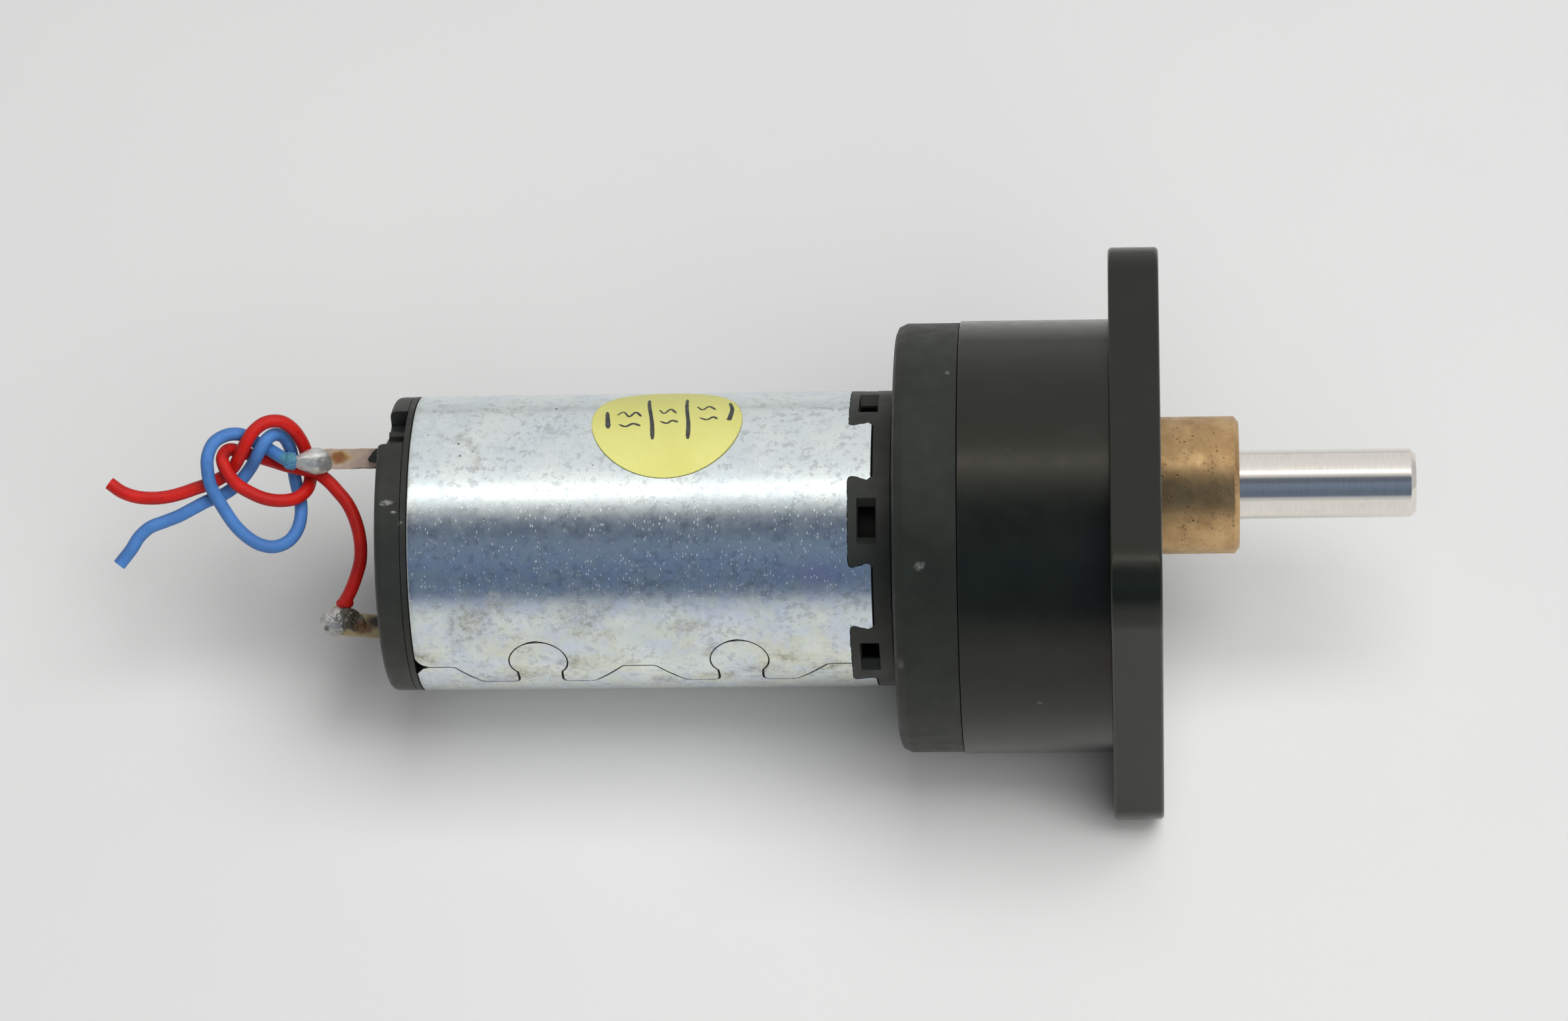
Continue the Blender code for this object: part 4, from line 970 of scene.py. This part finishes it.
# ---------------------------------------------------------------- solder joints
def blob(name, shape, mat, slot, seed, lumps, *nodes, rings=72):
    """A lump: a unit sphere sent through shape() onto the brush line, roughened by (scale, mm) lumps."""
    bm = bmesh.new()
    bmesh.ops.create_uvsphere(bm, u_segments=2 * rings, v_segments=rings, radius=1.0)
    for vert in bm.verts:
        unit = vert.co.normalized()
        point = shape(unit)
        push = 0.0
        for scale, amount in lumps:
            push += amount * noise.noise(unit * scale + Vector((seed, seed * 0.7, scale)))
        vert.co = brush_line(*(point + unit * push))
    obj = new_object(name, bm)
    obj.data.shade_smooth()
    return piece(obj, mat, slot, *nodes)


def upper_shape(u):
    """Pear shaped: pointed toward the lead, with a skirt that runs on under the tab's lower edge."""
    along, below = u.x, max(0.0, -u.y)
    flare = 1.0 - 0.40 * max(0.0, -along) ** 1.2
    reach = 2.86 if along < 0 else 1.98 + 0.85 * below ** 1.5
    lean = 0.36 * max(0.0, along) * below
    return Vector((-98.72 + reach * along, 9.78 + 1.62 * u.y * flare + lean * 0.5,
                   0.10 + 1.16 * u.z * flare * (1.0 - 0.55 * max(0.0, along) * (0.35 + below))))


def lower_shape(u):
    """A lump round the tab's end with a collar that climbs the lead."""
    climb = max(0.0, u.y) ** 4 * max(0.0, 1.0 - abs(u.z)) ** 0.5
    return Vector((-96.60 + 1.74 * u.x + 1.0 * climb, -9.12 + 1.50 * u.y + 0.75 * climb, 1.28 * u.z))


def crust_shape(u):
    """Burnt flux between the lead's end and the tab, lower toward the cap."""
    return Vector((-94.75 + 1.85 * u.x,
                   -8.75 + 1.22 * u.y - 0.55 * u.x + 0.30 * max(0.0, u.y) * max(0.0, -u.x),
                   0.22 + 0.72 * u.z))


def oval(x, v, w, rx, rv, rw):
    """A blob shape: an ellipsoid at a place on the brush line."""
    return lambda u: Vector((x + rx * u.x, v + rv * u.y, w + rw * u.z))


blob("solder_upper_joint", upper_shape, SOLDER_UP, "solder", 2.3, ((1.2, 0.10), (2.6, 0.05), (7.0, 0.012)),
     "solder_upper")
blob("solder_lower_joint", lower_shape, SOLDER_LOW, "solder", 8.1, ((1.6, 0.14), (3.6, 0.09), (8.0, 0.04)),
     "solder_lower")
blob("solder_lower_crust", crust_shape, CRUST, "solder", 5.7, ((1.8, 0.16), (4.2, 0.16), (9.0, 0.08)))
blob("lead_blue_melted_end", oval(-101.6, 9.85, 0.05, 1.0, 1.0, 0.9), BLUE, "blue_insulation", 3.1,
     ((1.7, 0.22), (4.0, 0.10)))
blob("lead_red_melted_end", oval(-95.42, -6.85, 0.0, 0.95, 0.78, 0.92), RED, "red_insulation", 6.4,
     ((1.7, 0.12), (4.0, 0.06)))

# ---------------------------------------------------------------- leads, on the CAD route
WIRE_D = 1.55
BLUE_ROUTE = [
    (-101.44, 9.62, 0.25), (-103.02, 10.46, -0.36), (-104.48, 11.33, -1.1), (-106.01, 12.19, -0.94),
    (-107.52, 13, -0.33), (-109.12, 12.93, 0.43), (-110.49, 12.04, 1.21), (-111.16, 10.43, 1.62),
    (-111.19, 8.64, 1.48), (-110.84, 6.89, 1.25), (-110.02, 5.31, 0.89), (-109.16, 3.77, 0.53),
    (-108.18, 2.31, 0.18), (-106.94, 1.05, -0.16), (-105.44, 0.1, -0.51), (-103.74, -0.18, -0.89),
    (-102.14, 0.48, -1.31), (-101.15, 1.88, -1.8), (-100.82, 3.59, -2.39), (-100.98, 5.28, -3.1),
    (-101.45, 6.85, -3.62), (-101.76, 8.42, -3.68), (-101.91, 10.16, -3.45), (-102.18, 11.69, -2.69),
    (-102.79, 12.75, -1.61), (-103.7, 12.92, -0.39), (-104.63, 12.04, 0.51), (-105.51, 10.55, 0.23),
    (-106.41, 9.23, -0.77), (-107.42, 8.01, -1.4), (-108.63, 6.79, -1.42), (-110.15, 5.85, -1.27),
    (-111.82, 5.2, -1.08), (-113.4, 4.37, -0.82), (-114.99, 3.55, -0.61), (-116.66, 2.9, -0.43),
    (-118.33, 2.26, -0.28), (-119.63, 1.15, -0.16), (-120.61, -0.35, -0.08), (-122.02, -2.11, -0),
]
RED_ROUTE = [
    (-95.54, -6.95, -0), (-94.69, -5.37, -0.01), (-94.04, -3.69, -0.05), (-93.58, -1.96, -0.15),
    (-93.53, -0.18, -0.31), (-93.81, 1.58, -0.53), (-94.35, 3.25, -0.79), (-95.16, 4.81, -1.08),
    (-96.27, 6.17, -1.37), (-97.49, 7.45, -1.65), (-98.91, 8.46, -1.89), (-100.67, 8.89, -1.8),
    (-102.42, 9.31, -1.86), (-104.09, 9.84, -2.32), (-105.78, 10.37, -2.28), (-107.47, 10.92, -1.54),
    (-109.01, 11.23, -0.54), (-109.57, 10.2, 0.7), (-108.93, 8.61, 1.36), (-107.85, 7.19, 1.01),
    (-106.37, 6.21, 0.61), (-104.74, 5.48, 0.19), (-102.98, 5.2, -0.29), (-101.26, 5.44, -0.9),
    (-100.09, 6.34, -1.77), (-99.8, 7.45, -3.07), (-99.87, 8.62, -3.68), (-100.05, 10.14, -3.15),
    (-100.35, 11.57, -2.15), (-100.8, 12.66, -1.23), (-101.48, 13.67, -0.43), (-102.69, 14.46, 0.3),
    (-104.35, 14.36, 0.93), (-105.79, 13.33, 1.26), (-106.8, 11.82, 1.11), (-107.61, 10.33, 0.48),
    (-108.45, 9.19, -0.32), (-109.64, 8.15, -0.52), (-111.22, 7.34, -0.56), (-112.92, 6.76, -0.51),
    (-114.63, 6.2, -0.46), (-116.37, 5.79, -0.39), (-118.16, 5.67, -0.3), (-119.94, 5.85, -0.2),
    (-121.63, 6.45, -0.1), (-123.08, 7.49, -0),
]


def smooth_route(points, per_span=8):
    """A Catmull-Rom curve through the route points."""
    pts = [Vector(p) for p in points]
    pts = [2 * pts[0] - pts[1]] + pts + [2 * pts[-1] - pts[-2]]
    out = []
    for i in range(1, len(pts) - 2):
        p0, p1, p2, p3 = pts[i - 1:i + 3]
        for k in range(per_span):
            t = k / per_span
            out.append(0.5 * (2 * p1 + (p2 - p0) * t + (2 * p0 - 5 * p1 + 4 * p2 - p3) * t ** 2
                              + (3 * p1 - p0 - 3 * p2 + p3) * t ** 3))
    out.append(pts[-2])
    return out


def lead(name, route, mat, slot, node):
    curve = bpy.data.curves.new(name, "CURVE")
    curve.dimensions = "3D"
    curve.bevel_depth = WIRE_D / 2 * MM
    curve.bevel_resolution = 8
    curve.use_fill_caps = True
    spline = curve.splines.new("POLY")
    points = [brush_line(*p) * MM for p in smooth_route(route)]
    spline.points.add(len(points) - 1)
    for point, co in zip(spline.points, points):
        point.co = (*co, 1.0)
    spline.use_smooth = True
    obj = bpy.data.objects.new(name, curve)
    obj.location = ORIGIN
    bpy.context.scene.collection.objects.link(obj)
    piece(obj, mat, slot, node)
    return obj


lead("lead_blue", BLUE_ROUTE, BLUE, "blue_insulation", "lead_wire_blue")
lead("lead_red", RED_ROUTE, RED, "red_insulation", "lead_wire_red")

# ---------------------------------------------------------------- gearbox cover
cover = new_object("gearbox_cover_shell", lathe(rounded([
    (COVER_HI.x + 0.08, COVER_R, 0.06), (COVER_LO.x + 1.25, COVER_R, 0.5),
    (COVER_LO.x + 0.32, COVER_R - 0.42, 0.35),
    (COVER_LO.x, COVER_R - 1.15, 0.25), (COVER_LO.x, 5.0, 0), (COVER_LO.x + 2.2, 5.0, 0),
    (COVER_LO.x + 2.2, ROOM_R, 0.4),
    (COVER_HI.x + 0.08, ROOM_R, 0)], steps=4)))
holes = bmesh.new()
for y, z in COLUMNS:
    lathe([(COVER_LO.x + 4, 0), (COVER_LO.x + 4, 1.75), (COVER_LO.x + 1.5, 1.75), (COVER_LO.x + 1.5, 2.75),
           (COVER_LO.x + 0.25, 2.75), (COVER_LO.x - 0.2, 3.1), (COVER_LO.x - 1, 3.1), (COVER_LO.x - 1, 0)],
           64, y, z, holes)
for y, z in MOTOR_SCREWS:
    lathe([(COVER_LO.x + 4, 0), (COVER_LO.x + 4, 1.75), (COVER_LO.x - 1, 1.75), (COVER_LO.x - 1, 0)], 48, y,
          z, holes)
cut(cover, holes)
clean(cover)
shade(cover, 0.0)
piece(cover, COVER_PAINT, "cover_cast", "gearbox_cover")

for k, (y, z) in enumerate(COLUMNS):
    head = COVER_LO.x + 0.12
    profile = rounded([(-17.5, 0.0, 0), (-17.5, 1.0, 0), (-18.0, 1.25, 0), (head + 1.15, 1.25, 0),
                       (head + 1.15, 2.4, 0.1),
                       (head, 2.4, 0.35), (head, 0.0, 0)], closed=False)
    screw = new_object(f"cover_screw_{k + 1}_head", lathe(profile, 64, y, z))
    hexagon = [(y + 1.25 * math.cos(math.radians(60 * i + 11 * k)),
                z + 1.25 * math.sin(math.radians(60 * i + 11 * k)))
               for i in range(6)]
    cut(screw, slab(head - 1, head + 0.85, hexagon))
    clean(screw)
    shade(screw, y, z)
    piece(screw, DARK_STEEL, "dark_steel", f"cover_screw_{k + 1}")


# ---------------------------------------------------------------- gearbox housing with its flange
def rounded_square(side, corner, count=16):
    half = side / 2 - corner
    points = []
    for k, (sy, sz) in enumerate(((1, 1), (-1, 1), (-1, -1), (1, -1))):
        for i in range(count + 1):
            angle = (k + i / count) * math.pi / 2
            points.append((sy * half + corner * math.cos(angle), sz * half + corner * math.sin(angle)))
    return points


FLANGE_CORNER = 6.9
flange = bmesh.new()
levels = [(-FLANGE_T, 0.42), (-FLANGE_T + 0.10, 0.18), (-FLANGE_T + 0.30, 0.04), (-FLANGE_T + 0.5, 0.0),
          (-0.5, 0.0),
          (-0.30, 0.04), (-0.10, 0.18), (0.0, 0.42)]
loft([[(x, y, z) for y, z in rounded_square(FLANGE_SIDE - 2 * inset, FLANGE_CORNER - inset)] for x,
      inset in levels], flange)
housing = new_object("gearbox_housing_body", flange)
barrel = rounded([(-FLANGE_T / 2, 12.0, 0), (-FLANGE_T / 2, HOUSE_R, 0), (HOUSE_LO.x, HOUSE_R, 0.14),
                  (HOUSE_LO.x, ROOM_R, 0),
                  (-FLANGE_T, ROOM_R, 0.3), (-FLANGE_T, 12.0, 0)])
cut(housing, lathe(barrel), "UNION")
lugs = bmesh.new()
for y, z in COLUMNS:
    lathe([(-5.0, 0), (-5.0, 2.6), (HOUSE_LO.x, 2.6), (HOUSE_LO.x, 0)], 48, y, z, lugs)
cut(housing, lugs, "UNION")
holes = bmesh.new()
for y, z in COLUMNS:
    lathe([(-13.9, 0), (-13.9, 1.55), (HOUSE_LO.x - 1, 1.55), (HOUSE_LO.x - 1, 0)], 32, y, z, holes)
BOLT_AT, BOLT_R = 20.0, 2.15
for y in (-BOLT_AT, BOLT_AT):
    for z in (-BOLT_AT, BOLT_AT):
        lathe([(1, 0), (1, BOLT_R + 0.3), (0.0, BOLT_R + 0.3), (-0.3, BOLT_R), (-FLANGE_T + 0.3, BOLT_R),
               (-FLANGE_T, BOLT_R + 0.3),
               (-FLANGE_T - 1, BOLT_R + 0.3), (-FLANGE_T - 1, 0)], 64, y, z, holes)
cut(housing, holes)
cut(housing,
    lathe([(2, 0), (2, BUSH_R + 0.32), (0, BUSH_R + 0.32), (-0.3, BUSH_R + 0.02), (-12, BUSH_R + 0.02),
           (-12, 0)], 128, BUSH_Y))
clean(housing)
shade(housing, 0.0)
piece(housing, HOUSE_PAINT, "housing_cast", "gearbox_housing")

# ---------------------------------------------------------------- output bush and shaft
bush = new_object("output_bush_sleeve", lathe(rounded([
    (BUSH_HI.x, SHAFT_R + 0.62, 0.0), (BUSH_HI.x, BUSH_R - 0.62, 0.18), (BUSH_HI.x - 0.55, BUSH_R, 0.25),
    (BUSH_LO.x, BUSH_R, 0.1),
    (BUSH_LO.x, SHAFT_R + 0.2, 0), (BUSH_HI.x - 0.45, SHAFT_R + 0.2, 0)]), 192, BUSH_Y))
shade(bush, BUSH_Y)
piece(bush, BRONZE, "bronze", "output_bush")

shaft = new_object("output_shaft_rod", lathe(rounded([
    (SHAFT_HI.x, 0.0, 0), (SHAFT_HI.x, SHAFT_R - 0.55, 0.15), (SHAFT_HI.x - 0.62, SHAFT_R, 0.2),
    (-18.0, SHAFT_R, 0),
    (-18.4, SHAFT_R - 0.4, 0), (-18.4, 0.0, 0)], closed=False), 160, BUSH_Y))
shade(shaft, BUSH_Y)
piece(shaft, GROUND, "ground_steel", "output_shaft", body="output")

# ---------------------------------------------------------------- round label with pen strokes
LABEL_R, LABEL_ARC, LABEL_X, LABEL_S = 8.67, 8.38, -56.5, CAN_R * math.radians(108)
PAPER = CAN_R + 0.14
label = bmesh.new()
rings, spokes = 20, 144
layers = []
for radius_of in (PAPER, CAN_R + 0.03):
    centre = label.verts.new(on_radius(LABEL_X, radius_of, LABEL_S / CAN_R))
    grid = []
    for i in range(1, rings + 1):
        row = []
        for k in range(spokes):
            a = 2 * math.pi * k / spokes
            reach = LABEL_R * i / rings
            across = reach * LABEL_ARC / LABEL_R
            row.append(label.verts.new(on_radius(LABEL_X + reach * math.cos(a), radius_of,
                                                 (LABEL_S + across * math.sin(a)) / CAN_R)))
        grid.append(row)
    for k in range(spokes):
        n = (k + 1) % spokes
        label.faces.new((centre, grid[0][k], grid[0][n]))
        for i in range(rings - 1):
            label.faces.new((grid[i][k], grid[i + 1][k], grid[i + 1][n], grid[i][n]))
    layers.append(grid[-1])
for k in range(spokes):
    n = (k + 1) % spokes
    label.faces.new((layers[0][k], layers[0][n], layers[1][n], layers[1][k]))
sticker = new_object("can_label_disc", label)
shade(sticker, 0.0)
piece(sticker, paper(), "yellow_label", "can_label")

STROKES = (  # points along the pen line as (x, arc), and its width
    ([(-63.5, 34.4), (-63.35, 32.8), (-63.2, 31.1)], 0.52),
    ([(-58.85, 37.5), (-58.7, 35.5), (-58.2, 32.0), (-58.0, 29.2)], 0.46),
    ([(-54.45, 37.6), (-54.35, 35.0), (-54.0, 31.8), (-53.95, 29.2)], 0.46),
    ([(-49.45, 36.3), (-49.1, 34.6), (-49.25, 33.0), (-49.4, 32.3)], 0.50),
    ([(-62.3, 33.6), (-61.6, 34.3), (-60.9, 33.3), (-60.2, 34.2), (-59.5, 33.3)], 0.26),
    ([(-62.0, 31.8), (-61.2, 31.4), (-60.4, 31.9), (-59.5, 31.5)], 0.30),
    ([(-57.5, 34.7), (-56.9, 33.9), (-56.2, 34.8), (-55.5, 33.9)], 0.26),
    ([(-57.3, 32.3), (-56.5, 31.9), (-55.9, 32.4), (-55.2, 32.1)], 0.28),
    ([(-53.2, 35.4), (-52.5, 34.6), (-51.8, 35.4), (-51.0, 34.6)], 0.26),
    ([(-52.8, 32.9), (-51.9, 32.5), (-51.2, 33.0), (-50.7, 32.6)], 0.28),
)
pen = bmesh.new()
for line, width in STROKES:
    soft_line = [tuple(p.xy) for p in smooth_route([(a, b, 0) for a, b in line], 7)]
    count = len(soft_line) - 1
    across = [width * (0.78 + 0.45 * (k / count) + 0.18 * noise.noise(Vector((k * 0.5, width * 40, 1.0))))
              * min(1.0, 0.45 + 0.3 * min(k, count - k)) for k in range(count + 1)]
    ribbon(soft_line, across, PAPER - 0.02, PAPER + 0.012, pen)
strokes = new_object("label_pen_strokes", pen)
shade(strokes, 0.0)
piece(strokes, ink(), None)

# ---------------------------------------------------------------- carried-over CAD nodes
FINISHES = {
    BRASS: ("motor_pinion", "stage_1_washer", "stage_2_washer", "output_washer", "brush_spring_upper",
            "brush_spring_lower"),
    DARK_STEEL: ("stage_1_wheel", "stage_1_pinion", "stage_2_wheel", "stage_2_pinion", "output_gear",
                 "output_retaining_ring", "motor_screw_1", "motor_screw_2"),
    GROUND: ("gear_pin_1", "gear_pin_2", "motor_shaft"),
    BRONZE: ("front_bearing", "rear_bearing"),
    LAMINATION: ("rotor_core",),
    COPPER_COIL: ("rotor_windings",),
    COMMUTATOR: ("commutator",),
    FERRITE: ("magnet_upper", "magnet_lower"),
    CARBON: ("brush_upper", "brush_lower"),
}
for finish, names in FINISHES.items():
    for name in names:
        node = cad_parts[name]
        node.data.materials.clear()
        node.data.materials.append(finish)

# ---------------------------------------------------------------- table
TILT = math.radians(2.2)
touch = ORIGIN + Vector((-FLANGE_T, 0.0, HOUSE_LO.z)) * MM
normal = Vector((math.sin(TILT), 0.0, math.cos(TILT)))
bm = bmesh.new()
bmesh.ops.create_grid(bm, x_segments=8, y_segments=8, size=3.0)
mesh = bpy.data.meshes.new("table_top")
bm.to_mesh(mesh)
bm.free()
table = bpy.data.objects.new("table_top", mesh)
table.rotation_euler = (0.0, TILT, 0.0)
table.location = touch - normal * 0.05 * MM
table.data.materials.append(table_top())
bpy.context.scene.collection.objects.link(table)

# ---------------------------------------------------------------- light
scene = bpy.context.scene
world = scene.world or bpy.data.worlds.new("studio")
scene.world = world
world.cycles_visibility.diffuse = False    # the sky is only for reflections
world.use_nodes = True
tree = world.node_tree
tree.nodes.clear()


def world_node(kind, *links, **props):
    node = tree.nodes.new(kind)
    for key, value in props.items():
        setattr(node, key, value)
    for socket, value in links:
        if isinstance(value, bpy.types.NodeSocket):
            tree.links.new(value, node.inputs[socket])
        else:
            node.inputs[socket].default_value = value
    return node


SKY = (  # elevation about X in degrees, from the viewer's horizon over the top, and the light there
    (-180, (0.72, 0.72, 0.73)), (-6, (0.70, 0.70, 0.71)), (0, (0.66, 0.67, 0.69)), (8, (0.45, 0.47, 0.52)),
    (13, (0.13, 0.17, 0.24)), (30, (0.13, 0.175, 0.245)), (41, (0.165, 0.215, 0.31)),
    (54, (0.18, 0.23, 0.32)),
    (63, (0.12, 0.145, 0.20)), (74, (0.14, 0.165, 0.22)), (79, (0.50, 0.50, 0.51)),
    (88, (0.95, 0.95, 0.95)),
    (95, (2.35, 2.35, 2.32)), (102, (1.05, 1.05, 1.05)), (119, (0.85, 0.85, 0.86)),
    (180, (0.75, 0.75, 0.76)))
PEAK = 2.4
place = world_node("ShaderNodeTexCoord").outputs["Generated"]
axes = world_node("ShaderNodeSeparateXYZ", (0, place)).outputs
away = world_node("ShaderNodeMath", (0, axes[1]), (1, -1.0), operation="MULTIPLY").outputs[0]
angle = world_node("ShaderNodeMath", (0, axes[2]), (1, away), operation="ARCTAN2").outputs[0]
share = world_node("ShaderNodeMapRange", ("Value", angle), ("From Min", -math.pi),
                   ("From Max", math.pi)).outputs[0]
ramp = world_node("ShaderNodeValToRGB", (0, share))
stops = ramp.color_ramp.elements
while len(stops) > 1:
    stops.remove(stops[-1])
for index, (degrees, tone) in enumerate(SKY):
    at = (degrees + 180) / 360
    stop = stops[0] if index == 0 else stops.new(at)
    stop.position = at
    stop.color = (*(c / PEAK for c in tone), 1.0)
sideways = world_node("ShaderNodeMath", (0, axes[0]), operation="ABSOLUTE").outputs[0]
side_share = world_node("ShaderNodeMapRange", ("Value", sideways), ("From Min", 0.68), ("From Max", 0.88),
                        interpolation_type="SMOOTHSTEP").outputs[0]
blend = world_node("ShaderNodeMix", data_type="RGBA")
for identifier, value in (("Factor_Float", side_share), ("A_Color", ramp.outputs[0]),
                          ("B_Color", (0.24, 0.24, 0.245, 1.0))):
    target = next(s for s in blend.inputs if s.identifier == identifier)
    if isinstance(value, tuple):
        target.default_value = value
    else:
        tree.links.new(value, target)
result = next(s for s in blend.outputs if s.identifier == "Result_Color")
background = world_node("ShaderNodeBackground", ("Color", result), ("Strength", PEAK))
world_node("ShaderNodeOutputWorld", ("Surface", background.outputs[0]))

middle = (Vector(cad_bounds[0]) + Vector(cad_bounds[1])) / 2
SOFTBOXES = (  # name, place from the object's middle in metres, size, energy in watts
    ("softbox_top", (0.40, 0.0, 1.30), (1.0, 1.0), 13.6),
    ("softbox_front", (0.55, -0.85, 1.10), (1.6, 1.1), 12.0),
)
for name, away, size, energy in SOFTBOXES:
    lamp = bpy.data.lights.new(name, "AREA")
    lamp.shape = "RECTANGLE"
    lamp.size, lamp.size_y = size
    lamp.energy = energy
    box = bpy.data.objects.new(name, lamp)
    box.location = middle + Vector(away)
    box.rotation_mode = "QUATERNION"
    box.rotation_quaternion = (middle - box.location).to_track_quat("-Z", "Y")
    box.visible_glossy = False
    box.visible_camera = False
    scene.collection.objects.link(box)

# ---------------------------------------------------------------- camera
camera_data = bpy.data.cameras.new("camera")
camera_data.sensor_fit = "HORIZONTAL"
camera_data.sensor_width = 36.0
camera_data.lens = 131.63
camera_data.clip_start, camera_data.clip_end = 0.05, 10.0
camera = bpy.data.objects.new("camera", camera_data)
RIGHT = Vector((0.99800067, 0.02583473, -0.05768207))
UP = Vector((0.01171584, 0.82120821, 0.57050838))
BACK = Vector((0.06210792, -0.57004354, 0.81926367))
STAND = Vector((-2.322, -377.958, 549.072))
turn = Matrix((RIGHT, UP, BACK)).transposed().to_4x4()
camera.matrix_world = Matrix.Translation(ORIGIN + STAND * MM) @ turn
scene.collection.objects.link(camera)
scene.camera = camera
scene.view_settings.view_transform = "Standard"
scene.view_settings.look = "None"
